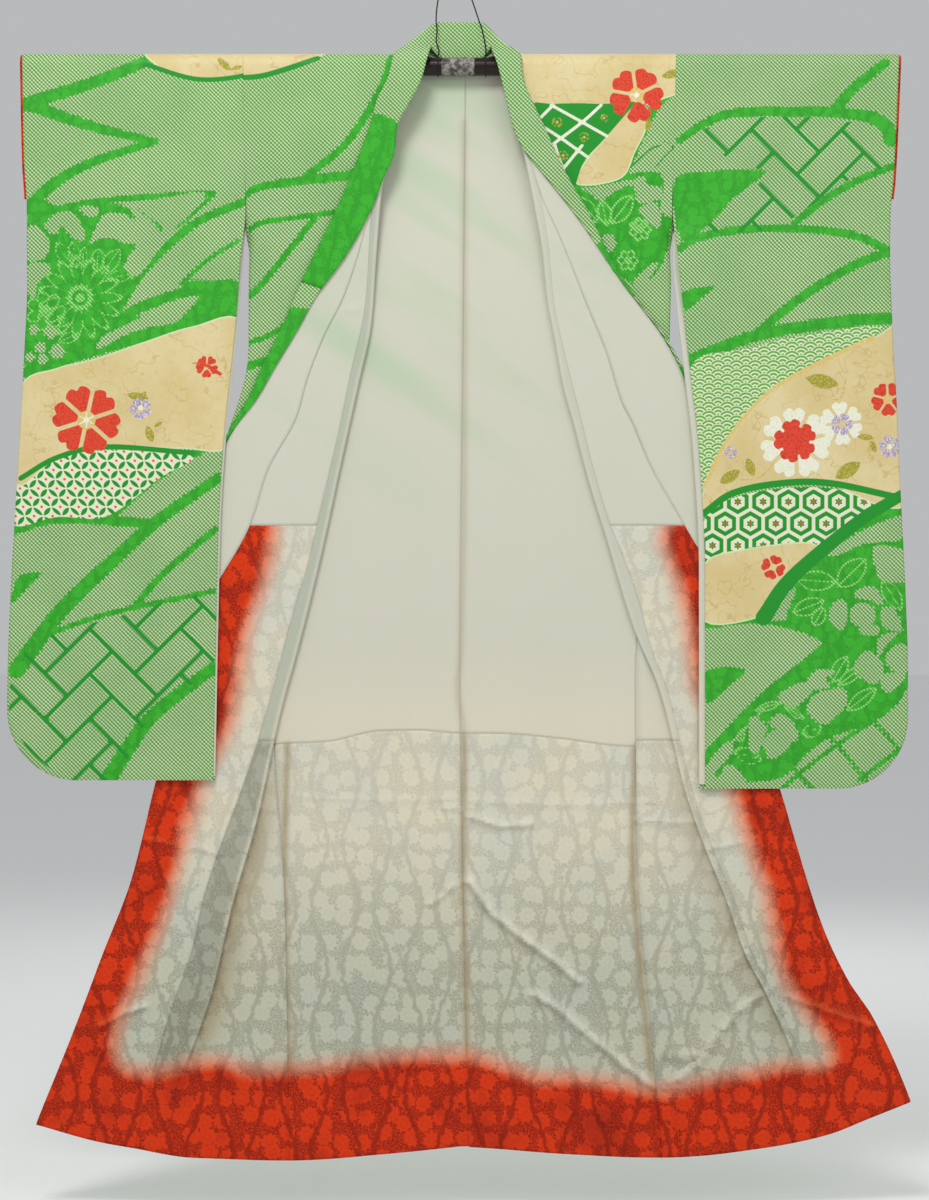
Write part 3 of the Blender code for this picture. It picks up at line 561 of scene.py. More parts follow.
def okumiGrid(side, levels, spacing, roll=0.0):
    own = lines[side]
    collarEnd = min(row[0] for row in own["collarSeam"])
    start = along(own["okumiSeam"], levels) + cloth["seamGap"] / 2
    end = np.where(levels > collarEnd, along(own["collarSeam"], levels), along(own["frontEdge"], levels))
    end = np.maximum(end - cloth["seamGap"] / 2, start + cloth["narrowest"])
    shares = np.linspace(0, 1, int((end - start).max() / spacing) + 2)[None, :]
    across = start[:, None] + (end - start)[:, None] * shares
    level = levels[:, None]
    lift = drape["layerStep"] + (behind(level) - drape["layerStep"]) * opening(level)[1]
    drop = hemDrop(side, across, level) + hemRoll(level, roll)
    return hang(-1, across, level, lift, frontDepth(level), drop)


def sleeveLevels(side, step, bottom=None):
    lowest = lines[side]["sleeveBottom"]
    turns = np.radians(np.linspace(0, 90, garment["cornerRows"]))
    low = lowest + garment["cornerRadius"] * (1 - np.sin(turns))
    overRod = levelsBetween(shoulderLevel, 0, drape["overRodStep"])[:-1]
    levels = np.concatenate([overRod, levelsBetween(0, low[0], step)[:-1], low])
    if bottom is None:
        return levels
    return np.append(levels[levels > bottom + garment["leastRow"]], bottom)


def sleeveGrid(side, facing, levels, spacing, lift=cloth["sleeveLift"], shares=(0.0, 1.0), roll=0.0):
    own = lines[side]
    corner = garment["cornerRadius"]
    level = levels[:, None]
    inner = along(own["sleeveInner"], level)
    joinedTo = along(own["armhole"], level) + cloth["seamGap"] / 2
    inner = inner + (joinedTo - inner) * smooth((level - garment["armholeBottom"]) / garment["sleeveJoin"])
    if facing > 0:
        parted = smooth((garment["armholeBottom"] - level) / garment["armholeFade"])
        inner = inner - own["sleeveBackReach"] * parted
    outer = along(own["sleeveOuter"], level)
    above = np.clip((level - own["sleeveBottom"]) / corner, 0, 1)
    outer = outer - corner * (1 - np.sqrt(np.clip(1 - (1 - above) ** 2, 0, 1)))
    count = int((outer - inner).max() * (shares[1] - shares[0]) / spacing) + 2
    share = np.linspace(shares[0], shares[1], count)[None, :]
    across = inner + (outer - inner) * share
    across[:, -1] += roll
    swing = smooth(-level / garment["sleeveSwing"])
    below = garment["sleeveFrontDepth"] if facing < 0 else -garment["sleeveBackDepth"]
    inward = cloth["sleeveLift"] - lift
    hung = drape["radius"] + lift + (below - inward - drape["radius"] - lift) * swing
    body = (frontDepth(level) if facing < 0 else backDepth(level)) + lift
    joined = 1 - smooth((-level - garment["cuffOpening"]) / garment["armholeFade"])
    depth = hung + (body - hung) * joined * (1 - smooth(share / garment["armholeShare"]))
    closed = smooth((-level - garment["cuffOpening"]) / garment["cuffFade"])
    seamed = -facing * (garment["sleeveFrontDepth"] + garment["sleeveBackDepth"]) / 2 + garment["edgeLift"]
    edge = np.minimum((outer - across), (level - own["sleeveBottom"]) + 0 * across)
    rolled = np.clip(1 - edge / garment["edgeRoll"], 0, 1) ** 2
    rolled = rolled * np.clip(share / garment["edgeStart"], 0, 1)
    depth = depth + (seamed - depth) * closed * rolled
    hungGrid = hang(facing, across, np.maximum(level, 0), lift, depth)
    flatGrid = np.stack(np.broadcast_arrays(across, facing * depth, level), axis=-1)
    return np.where((level >= 0)[..., None], hungGrid, flatGrid)


def collarStations(side, step):
    # base, fold and free edge of the collar from the middle of the neck to its end
    own = lines[side]
    table = np.array(collarFront[side], float) / (1000, 1000, 1000, 1000, 1000, 1)
    levels = levelsBetween(0.0, min(row[0] for row in own["collarSeam"]), step)
    baseX = along(own["collarSeam"], levels) + cloth["seamGap"] / 2
    edgeX, edgeZ, freeX, freeZ, turned = (along(table[:, (0, i)].tolist(), levels) for i in range(1, 6))
    lift = drape["layerStep"] + turnedStep(turned)
    base = hang(-1, baseX, levels, drape["layerStep"], frontDepth(levels))
    edge = hang(-1, edgeX, edgeZ, drape["layerStep"], frontDepth(edgeZ))
    free = hang(-1, freeX, freeZ, lift, frontDepth(freeZ))
    front = np.stack([base, edge, free], axis=1)
    neck = np.array(collarNeck[side], float) / 1000
    control = np.concatenate([neck[1:2] * (-1, 1, 1), neck, front[:2]])
    shares = np.linspace(0, 1, collarSizes["neckSteps"])[:-1]
    dense = np.array([curved(*control[i:i + 4], t) for i in range(len(neck)) for t in shares])
    stations = np.concatenate([dense, front])
    turned = np.concatenate([np.ones(len(dense)), turned])
    baseLevel = np.concatenate([np.ones(len(dense)), levels])
    return stations, turned, baseLevel


def turnedStep(turned):
    # from the collar's outer half to the half that is turned in
    return collarSizes["lipStep"] + (collarSizes["step"] - collarSizes["lipStep"]) * turned


def collarSection(stations, turned, lining=False):
    # points across the strip: out along the sewn half, round the fold, and back along the other
    base, edge, free = stations[:, 0], stations[:, 1], stations[:, 2]
    out = edge - base
    out /= np.linalg.norm(out, axis=1, keepdims=True)
    turned = turned[:, None]
    if lining:
        end = edge - out * (collarSizes["bend"] + collarSizes["lipWidth"] * (1 - turned))
        shares = np.linspace(0, 1, collarSizes["liningColumns"])
        return np.stack([base + (end - base) * t for t in shares], axis=1)
    step = turnedStep(turned)
    over = np.concatenate([0 * step, -step, 0 * step], axis=1)
    reach = collarSizes["bend"] * step / collarSizes["step"]
    bend = edge - out * reach
    lip = edge + over - out * collarSizes["lipWidth"]
    free = lip + (free - lip) * turned
    shares = np.linspace(0, 1, collarSizes["columns"])
    rows = [base + (bend - base) * t for t in shares]
    for angle in np.radians(np.linspace(-90, 90, collarSizes["foldSteps"]))[1:]:
        rows.append(bend + over / 2 + out * reach * math.cos(angle) + over / 2 * math.sin(angle))
    top = bend + over
    rows += [top + (free - top) * t for t in shares[1:]]
    return np.stack(rows, axis=1)


def gridDirections(grid, axis):
    steps = np.diff(grid, axis=axis)
    size = np.linalg.norm(steps, axis=2, keepdims=True)
    steps = steps / np.maximum(size, 1e-9)
    first = np.take(steps, [0], axis=axis)
    last = np.take(steps, [-1], axis=axis)
    return np.concatenate([first, steps], axis=axis) + np.concatenate([steps, last], axis=axis)


def addCloth(name, grid, face, turn, mirrored=False, relief=None, turnWidth=cloth["turnWidth"]):
    # a cloth panel: its showing face, and its edges turned under by a few millimetres
    grid = np.array(grid, float)
    normal = np.cross(gridDirections(grid, 1), gridDirections(grid, 0))
    normal /= np.maximum(np.linalg.norm(normal, axis=2, keepdims=True), 1e-9)
    if relief is not None:
        grid[..., 1] -= relief(grid[..., 0] * (-1 if mirrored else 1), grid[..., 2])

    def turnedUnder(axis):
        # the order of the rows or columns with the turned edge at both ends, and where it is under
        count = grid.shape[axis]
        spacing = np.median(np.linalg.norm(np.diff(grid, axis=axis), axis=2))
        inset = max(1, min(int(round(turnWidth / max(spacing, 1e-4))), (count - 1) // 2))
        order = [inset, 0, *range(count), count - 1, count - 1 - inset]
        return np.array(order), np.array([1.0, 1.0] + [0.0] * count + [1.0, 1.0])

    rowOrder, rowDepth = turnedUnder(0)
    columnOrder, columnDepth = turnedUnder(1)
    depth = np.maximum(rowDepth[:, None], columnDepth[None, :])
    offset = face + (turn - face) * depth
    points = grid[rowOrder][:, columnOrder] + normal[rowOrder][:, columnOrder] * offset[..., None]
    if mirrored:
        points = points * (-1, 1, 1)
    rows, columns = points.shape[:2]
    index = np.arange(rows * columns).reshape(rows, columns)
    corners = (index[:-1, :-1], index[:-1, 1:], index[1:, 1:], index[1:, :-1])
    faces = np.stack(corners, axis=-1).reshape(-1, 4)
    if mirrored != (turn > face):
        faces = faces[:, ::-1]
    mesh = bpy.data.meshes.new(name)
    mesh.vertices.add(rows * columns)
    mesh.vertices.foreach_set("co", points.reshape(-1).astype(np.float32))
    mesh.loops.add(faces.size)
    mesh.loops.foreach_set("vertex_index", faces.reshape(-1).astype(np.int32))
    mesh.polygons.add(len(faces))
    mesh.polygons.foreach_set("loop_start", np.arange(0, faces.size, 4, dtype=np.int32))
    mesh.update(calc_edges=True)
    mesh.validate()
    mesh.shade_smooth()
    obj = bpy.data.objects.new(name, mesh)
    bpy.context.scene.collection.objects.link(obj)
    return obj


def setField(obj, name, values):
    attribute = obj.data.attributes.new(name, "FLOAT", "POINT")
    attribute.data.foreach_set("value", np.asarray(values, np.float32))


def planePoints(obj):
    spots = np.zeros(len(obj.data.vertices) * 3)
    obj.data.vertices.foreach_get("co", spots)
    spots = spots.reshape(-1, 3)
    return spots[:, 0], spots[:, 2]


# The dyed and embroidered picture. Every shape is kept as a depth in metres, more than 0 inside it,
# on the points of the panel, and the cloth's material turns each depth into its own colour.
farOff = 30                         # a shape's depth is worked out up to this many steps away
pathSteps = 6                       # from one point of an outline to the next
petalSizes = dict(eye=0.25, parting=0.05, notch=0.12, notchWidth=0.16, roundness=0.22)
ovalSizes = dict(middle=0.62, half=0.38, fullness=0.92)
dottedSizes = dict(eye=0.12, vein=0.9)


def smoothPath(points, closed=False):
    points = np.array(points, float)
    if len(points) < 3:
        return points
    if closed:
        points = np.concatenate([points[-1:], points, points[:2]])
    else:
        points = np.concatenate([2 * points[:1] - points[1:2], points, 2 * points[-1:] - points[-2:-1]])
    path = [
        curved(*points[i:i + 4], t)
        for i in range(len(points) - 3) for t in np.linspace(0, 1, pathSteps, endpoint=False)
    ]
    if not closed:
        path.append(points[-2])
    return np.array(path)


def nearBox(px, py, path, margin):
    low = path.min(axis=0) - margin
    high = path.max(axis=0) + margin
    return (px > low[0]) & (px < high[0]) & (py > low[1]) & (py < high[1])


def pathDistance(px, py, path, shares):
    # the least distance to the path, less the half width that it has there
    nearest = np.full(px.shape, 1e6)
    for i in range(len(path) - 1):
        ax, ay = path[i]
        dx, dy = path[i + 1] - path[i]
        size = max(dx * dx + dy * dy, 1e-12)
        t = np.clip(((px - ax) * dx + (py - ay) * dy) / size, 0, 1)
        half = shares[i] + (shares[i + 1] - shares[i]) * t
        nearest = np.minimum(nearest, np.hypot(px - ax - t * dx, py - ay - t * dy) - half)
    return nearest


def strokeDepth(px, py, points, width):
    path = smoothPath(points)
    first, last = width if isinstance(width, tuple) else (width, width)
    half = np.linspace(first / 2, last / 2, len(path))
    depth = np.full(px.shape, -float(farOff))
    near = nearBox(px, py, path, farOff + max(first, last) / 2)
    depth[near] = -pathDistance(px[near], py[near], path, half)
    return depth


def areaDepth(px, py, corners, margin=farOff):
    path = smoothPath(corners, closed=True)
    path = np.concatenate([path, path[:1]])
    depth = np.full(px.shape, -float(margin))
    near = nearBox(px, py, path, margin)
    x, y = px[near], py[near]
    away = pathDistance(x, y, path, np.zeros(len(path)))
    inside = np.zeros(x.shape, bool)
    for (ax, ay), (bx, by) in zip(path, path[1:]):
        if ay != by:
            inside ^= ((ay > y) != (by > y)) & (x < (bx - ax) * (y - ay) / (by - ay) + ax)
    depth[near] = np.where(inside, away, -away)
    return depth


def petalDepth(px, py, centre, radius, petals, turn):
    # a round of notched petals about an open middle
    x, y = px - centre[0], py - centre[1]
    r = np.hypot(x, y)
    step = 2 * math.pi / petals
    lean = (np.arctan2(y, x) - math.radians(turn) + step / 2) % step - step / 2
    across = np.abs(lean) / (step / 2)
    notch = petalSizes["notch"] * np.exp(-(across / petalSizes["notchWidth"]) ** 2)
    outer = radius * (1 - notch - petalSizes["roundness"] * across ** 3)
    between = r * np.sin(step / 2 * (1 - across)) - radius * petalSizes["parting"]
    return np.minimum(np.minimum(outer - r, between), r - radius * petalSizes["eye"])


def discDepth(px, py, centre, radius):
    return radius - np.hypot(px - centre[0], py - centre[1])


def leafDepth(px, py, root, tip, width):
    # where two discs overlap
    dx, dy = tip[0] - root[0], tip[1] - root[1]
    length = math.hypot(dx, dy)
    radius = (length ** 2 + width ** 2) / (4 * width)
    middle = ((root[0] + tip[0]) / 2, (root[1] + tip[1]) / 2)
    shift = radius - width / 2
    sides = []
    for side in (-1, 1):
        centre = (middle[0] - side * dy / length * shift, middle[1] + side * dx / length * shift)
        sides.append(discDepth(px, py, centre, radius))
    return np.minimum(*sides)


def ovalDepth(px, py, centre, radius, petals):
    # a round of narrow petals, each an oval from near the middle to the rim
    x, y = px - centre[0], py - centre[1]
    step = 2 * math.pi / petals
    lean = (np.arctan2(y, x) + step / 2) % step - step / 2
    r = np.hypot(x, y)
    middle, halfLong = radius * ovalSizes["middle"], radius * ovalSizes["half"]
    halfWide = middle * math.tan(step / 2) * ovalSizes["fullness"]
    away = np.hypot((r * np.cos(lean) - middle) / halfLong, r * np.sin(lean) / halfWide)
    return (1 - away) * halfWide


def outlined(depth, width):
    return width / 2 - np.abs(depth)


def plaitedLines(px, py, cell, width):
    # cypress fence: oblong cells laid in turn one way and the other, on the slant
    u = (px + py) / math.sqrt(2)
    v = (px - py) / math.sqrt(2)
    i, j = np.floor(u / cell), np.floor(v / cell)
    left, low = u - i * cell, v - j * cell
    right, high = cell - left, cell - low
    kind = (i + j) % 4
    nearest = np.select([kind == 0, kind == 1, kind == 2], [
        np.minimum(np.minimum(left, high), low),
        np.minimum(np.minimum(right, high), low),
        np.minimum(np.minimum(left, right), low),
    ], np.minimum(np.minimum(left, right), high))
    return width / 2 - nearest


def drawPicture(obj, picture):
    # the shapes of one picture, from its own chart to the panel's points
    corner, unit, line = (picture.get(key) for key in ("corner", "unit", "dotWidth"))
    x, z = planePoints(obj)
    px, py = (x - corner[0]) / unit, (corner[1] - z) / unit
    fields = {"tied": np.full(px.shape, -float(farOff))}

    def add(name, depth):
        fields[name] = np.maximum(fields[name], depth) if name in fields else depth

    for name, strokes in picture.get("strokes", {}).items():
        for width, points in strokes:
            add(name, strokeDepth(px, py, points, width))
    for name, areas in picture.get("areas", {}).items():
        for corners in areas:
            add(name, areaDepth(px, py, corners))
    for corners in picture.get("kept", ()):
        fields["tied"] = np.minimum(fields["tied"], -areaDepth(px, py, corners))
    for corners, cell, width in picture.get("plaits", ()):
        add("trim", np.minimum(areaDepth(px, py, corners), plaitedLines(px, py, cell, width)))
    for name, centre, radius, petals, turn in picture.get("flowers", ()):
        add(name, petalDepth(px, py, centre, radius, petals, turn))
    for name, centre, radius in picture.get("discs", ()):
        add(name, discDepth(px, py, centre, radius))
    for centre, radius, petals in picture.get("dottedFlowers", ()):
        add("dotted", outlined(ovalDepth(px, py, centre, radius, petals), line))
        add("dotted", discDepth(px, py, centre, radius * dottedSizes["eye"]))
    for root, tip, width in picture.get("dottedLeaves", ()):
        add("dotted", outlined(leafDepth(px, py, root, tip, width), line))
        add("dotted", strokeDepth(px, py, (root, tip), line * dottedSizes["vein"]))
    for root, tip, width in picture.get("leaves", ()):
        add("leaf", leafDepth(px, py, root, tip, width))
    for name, depth in fields.items():
        setField(obj, name, depth * unit)


# Each picture's chart: its top left corner in metres, what one step on it is, and its shapes by colour
leftSleevePicture = dict(
    corner=(-0.69, 0.03825),
    unit=0.000727,
    dotWidth=4,
    strokes=dict(
        tied=(
            ((24, 28), ((325, 36), (200, 88), (50, 135))), ((28, 16), ((60, 135), (190, 180), (322, 212))),
            ((16, 28), ((318, 212), (190, 255), (110, 300), (58, 350))), (14, ((70, 372), (130, 348),
            (250, 330), (440, 318))), ((12, 6), ((440, 320), (410, 350), (365, 390))), (9, ((290, 350),
            (318, 372), (340, 405))), (18, ((250, 550), (300, 475), (400, 382), (508, 332))),
            (10, ((375, 505), (430, 455), (492, 415))), ((20, 30), ((235, 585), (300, 550), (400, 520),
            (495, 515))), (26, ((62, 688), (160, 652), (280, 618), (390, 590), (486, 585))),
            (12, ((235, 630), (320, 580), (400, 545))), ((26, 20), ((35, 1008), (120, 988), (310, 998))),
            (13, ((232, 985), (330, 902), (458, 825))), ((22, 36), ((450, 905), (330, 990), (240, 1070),
            (130, 1175), (36, 1300))), (15, ((280, 1168), (340, 1100), (445, 1010))), (12, ((60, 1245),
            (130, 1215), (240, 1180), (443, 1137))), ((36, 26), ((225, 1527), (260, 1470), (320, 1390),
            (442, 1295))),
        ),
        trim=(
            (12, ((45, 905), (120, 862), (220, 840), (400, 853))), (11, ((300, 52), (400, 82), (480, 80),
            (536, 65))),
        ),
        leaf=(
            (3, ((240, 672), (238, 684), (246, 692))), (3, ((285, 668), (283, 682), (270, 690))),
            (3, ((455, 36), (470, 60), (500, 64))),
        ),
        red=(((4, 9), ((398, 668), (425, 672), (455, 690))),),
    ),
    areas=dict(
        tied=(
            ((60, 352), (130, 345), (262, 345), (282, 420), (270, 500), (262, 520), (250, 560), (300, 570),
            (370, 545), (372, 600), (250, 640), (150, 660), (58, 700)), ((380, 505), (440, 498), (495, 503),
            (492, 590), (430, 588), (385, 592)), ((26, 1162), (40, 1108), (88, 1098), (60, 1130)),
        ),
        cloud=(
            ((44, 722), (120, 680), (200, 660), (300, 626), (400, 594), (500, 590), (480, 825), (380, 842),
            (250, 838), (120, 862), (36, 915)), ((318, 20), (560, 20), (545, 66), (480, 80), (400, 82),
            (330, 56)),
        ),
        shippo=(
            ((36, 912), (120, 866), (220, 846), (400, 858), (330, 906), (222, 984), (120, 985), (30, 1002)),
        ),
    ),
    kept=(
        ((94, 383), (118, 360), (151, 358), (175, 395), (172, 417), (147, 406), (130, 386), (114, 404)),
        ((59, 391), (79, 387), (102, 415), (99, 444), (82, 456), (59, 454)), ((59, 467), (97, 463),
        (105, 476), (79, 506), (71, 538), (57, 515)), ((166, 350), (188, 345), (207, 354), (188, 368)),
        ((186, 422), (212, 367), (236, 359), (263, 364), (296, 391), (298, 412), (270, 424), (236, 412),
        (205, 412)), ((278, 341), (342, 327), (424, 319), (383, 366), (356, 390), (322, 376), (299, 357)),
        ((279, 434), (301, 434), (318, 397), (347, 406), (325, 439), (301, 472), (283, 489), (258, 472)),
        ((205, 638), (212, 615), (260, 590), (308, 566), (342, 545), (409, 530), (383, 566), (359, 585),
        (308, 594), (260, 610)), ((83, 598), (72, 610), (60, 598), (72, 587)), ((121, 603), (107, 618),
        (92, 603), (107, 589)), ((97, 636), (86, 648), (74, 636), (86, 624)), ((136, 644), (120, 660),
        (104, 644), (120, 628)), ((101, 660), (90, 671), (79, 660), (90, 649)), ((75, 655), (65, 665),
        (55, 655), (65, 645)),
    ),
    plaits=(
        (((62, 1252), (240, 1190), (443, 1147), (440, 1290), (320, 1385), (225, 1540), (100, 1500),
        (20, 1390)), 66, 9),
    ),
    dottedFlowers=(((167, 533), 84, 15), ((96, 560), 40, 7)),
    dottedLeaves=(
        ((151, 470), (118, 419), 27), ((161, 472), (151, 417), 24), ((171, 470), (176, 429), 16),
        ((202, 480), (205, 432), 27), ((212, 484), (248, 434), 31), ((222, 494), (274, 484), 24),
        ((123, 624), (164, 607), 21), ((79, 576), (113, 556), 17), ((137, 593), (130, 573), 17),
    ),
    flowers=(
        ("red", (180, 785), 72, 6, 12), ("purple", (292, 762), 24, 5, 30), ("gold", (180, 785), 20, 6, 0),
        ("red", (428, 675), 24, 5, 20),
    ),
    discs=(("white", (180, 785), 17), ("white", (292, 760), 6)),
    leaves=(
        ((262, 732), (310, 742), 18), ((302, 725), (290, 748), 14), ((305, 795), (316, 832), 18),
        ((318, 800), (338, 788), 9), ((448, 38), (478, 66), 15), ((480, 60), (502, 56), 9),
    ),
)
rightSleevePicture = dict(
    corner=(0.3, 0.03825),
    unit=0.000727,
    dotWidth=5,
    strokes=dict(
        tied=(
            ((20, 24), ((462, 50), (400, 100), (358, 148))), ((16, 22), ((40, 208), (90, 175), (160, 152),
            (330, 150))), ((22, 34), ((325, 150), (420, 158), (462, 178), (475, 205))), (16, ((480, 262),
            (410, 290), (340, 330), (278, 378))), (18, ((40, 432), (80, 408), (180, 392), (300, 392),
            (400, 405), (470, 436))), (20, ((472, 438), (400, 466), (320, 512), (260, 555), (196, 610))),
            (26, ((56, 664), (120, 638), (200, 610), (300, 592), (400, 580), (480, 575))), (26, ((92, 1202),
            (200, 1192), (300, 1212), (362, 1245))), ((34, 26), ((356, 1248), (300, 1292), (200, 1372),
            (92, 1485))), (10, ((336, 1427), (366, 1456), (413, 1514), (426, 1530))), (10, ((432, 1399),
            (461, 1429), (494, 1466))), (10, ((246, 1549), (284, 1514), (362, 1455), (439, 1403))),
            (10, ((410, 1525), (458, 1488), (504, 1458))), (10, ((257, 1482), (284, 1514), (314, 1545))),
        ),
        gold=((9, ((437, 615), (330, 665), (240, 715), (180, 770), (130, 840), (90, 922))),),
        trim=(
            (15, ((88, 978), (150, 935), (250, 915), (350, 915), (492, 945))), ((24, 34), ((496, 940),
            (400, 1000), (270, 1110), (212, 1192))),
        ),
        leaf=(
            (3, ((345, 745), (372, 738), (382, 700))), (3, ((165, 908), (200, 905), (225, 885))),
            (3, ((150, 855), (165, 880), (188, 890))), (3, ((425, 745), (440, 768), (452, 775))),
        ),
    ),
    areas=dict(
        tied=(
            ((28, 292), (100, 272), (205, 270), (210, 282), (150, 330), (110, 372), (45, 415)), ((45, 522),
            (112, 508), (85, 535), (50, 560)), ((92, 1302), (175, 1298), (140, 1335), (95, 1368)),
            ((510, 945), (400, 1015), (282, 1115), (225, 1192), (362, 1245), (318, 1290), (250, 1345),
            (150, 1450), (110, 1515), (240, 1525), (330, 1450), (510, 1335)),
        ),
        scales=(
            ((58, 682), (180, 637), (300, 608), (445, 590), (437, 612), (330, 662), (240, 712), (180, 767),
            (130, 838), (88, 925), (60, 945)),
        ),
        cloud=(
            ((437, 618), (330, 668), (243, 718), (183, 773), (134, 842), (92, 925), (88, 978), (150, 938),
            (250, 917), (350, 917), (510, 950), (510, 612)), ((90, 1084), (180, 1052), (322, 1045),
            (232, 1150), (205, 1188), (92, 1198)),
        ),
        hexes=(
            ((92, 985), (150, 945), (250, 925), (350, 925), (462, 950), (385, 1000), (330, 1048),
            (200, 1045), (92, 1078)),
        ),
    ),
    kept=(
        ((343, 1062), (373, 1038), (432, 1005), (500, 983), (502, 1027), (447, 1036), (410, 1042),
        (373, 1060)), ((439, 1048), (476, 1046), (506, 1060), (504, 1116), (469, 1118), (448, 1108)),
        ((399, 1147), (417, 1129), (447, 1134), (456, 1165), (432, 1156)), ((391, 1178), (410, 1162),
        (439, 1171), (442, 1197), (421, 1208), (395, 1202)), ((349, 1197), (354, 1164), (375, 1155),
        (384, 1175), (380, 1211), (367, 1216)), ((452, 1178), (476, 1170), (493, 1197), (497, 1221),
        (461, 1211)), ((220, 1191), (262, 1140), (279, 1134), (263, 1175), (258, 1195)), ((456, 1228),
        (489, 1222), (465, 1248), (450, 1272), (446, 1248)), ((410, 1211), (428, 1206), (450, 1211),
        (447, 1226), (417, 1226)), ((397, 1293), (421, 1261), (448, 1274), (459, 1302), (439, 1328),
        (404, 1309)), ((463, 1274), (489, 1246), (509, 1256), (509, 1304), (480, 1303)), ((452, 1311),
        (500, 1307), (498, 1324), (465, 1346)), ((304, 1318), (327, 1299), (360, 1304), (342, 1316),
        (347, 1335), (314, 1339)), ((242, 1353), (281, 1328), (308, 1329), (311, 1346), (277, 1377),
        (255, 1372)), ((306, 1364), (332, 1344), (378, 1339), (381, 1374), (362, 1394), (336, 1412),
        (307, 1392)), ((223, 1407), (248, 1390), (277, 1414), (281, 1444), (262, 1445), (240, 1425)),
        ((184, 1401), (198, 1398), (219, 1418), (200, 1469), (182, 1458)), ((213, 1447), (233, 1425),
        (264, 1442), (260, 1464), (225, 1482)), ((91, 1503), (133, 1450), (150, 1462), (126, 1495),
        (100, 1517)), ((120, 1523), (141, 1493), (172, 1521), (165, 1536), (124, 1536)),
    ),
    plaits=(
        (((62, 212), (160, 166), (330, 162), (462, 196), (468, 262), (400, 285), (276, 368), (240, 392),
        (90, 392), (210, 282)), 66, 9),
    ),
    dottedLeaves=(
        ((361, 1118), (280, 1114), 39), ((365, 1127), (422, 1072), 44), ((336, 1157), (273, 1182), 33),
        ((336, 1171), (316, 1208), 26), ((457, 1114), (495, 1176), 33), ((354, 1324), (384, 1272), 29),
        ((366, 1331), (419, 1291), 22), ((384, 1383), (444, 1337), 28), ((292, 1433), (331, 1416), 26),
        ((151, 1466), (208, 1485), 31), ((196, 1383), (248, 1366), 15), ((255, 1370), (296, 1403), 16),
        ((163, 1449), (170, 1420), 13),
    ),
    flowers=(
        ("white", (278, 832), 74, 7, 10), ("white", (372, 792), 46, 6, 25), ("red", (277, 828), 46, 5, 40),
        ("purple", (374, 794), 24, 5, 0), ("red", (468, 742), 36, 5, 15), ("purple", (472, 840), 24, 5, 45),
        ("red", (232, 1088), 26, 4, 20), ("purple", (145, 852), 14, 4, 0),
    ),
    discs=(("red", (277, 828), 30), ("gold", (468, 742), 9), ("white", (472, 840), 6)),
    leaves=(
        ((298, 698), (368, 712), 30), ((360, 905), (412, 872), 30), ((122, 915), (165, 888), 24),
        ((178, 862), (192, 902), 20), ((404, 818), (440, 822), 14), ((432, 826), (444, 852), 14),
    ),
)
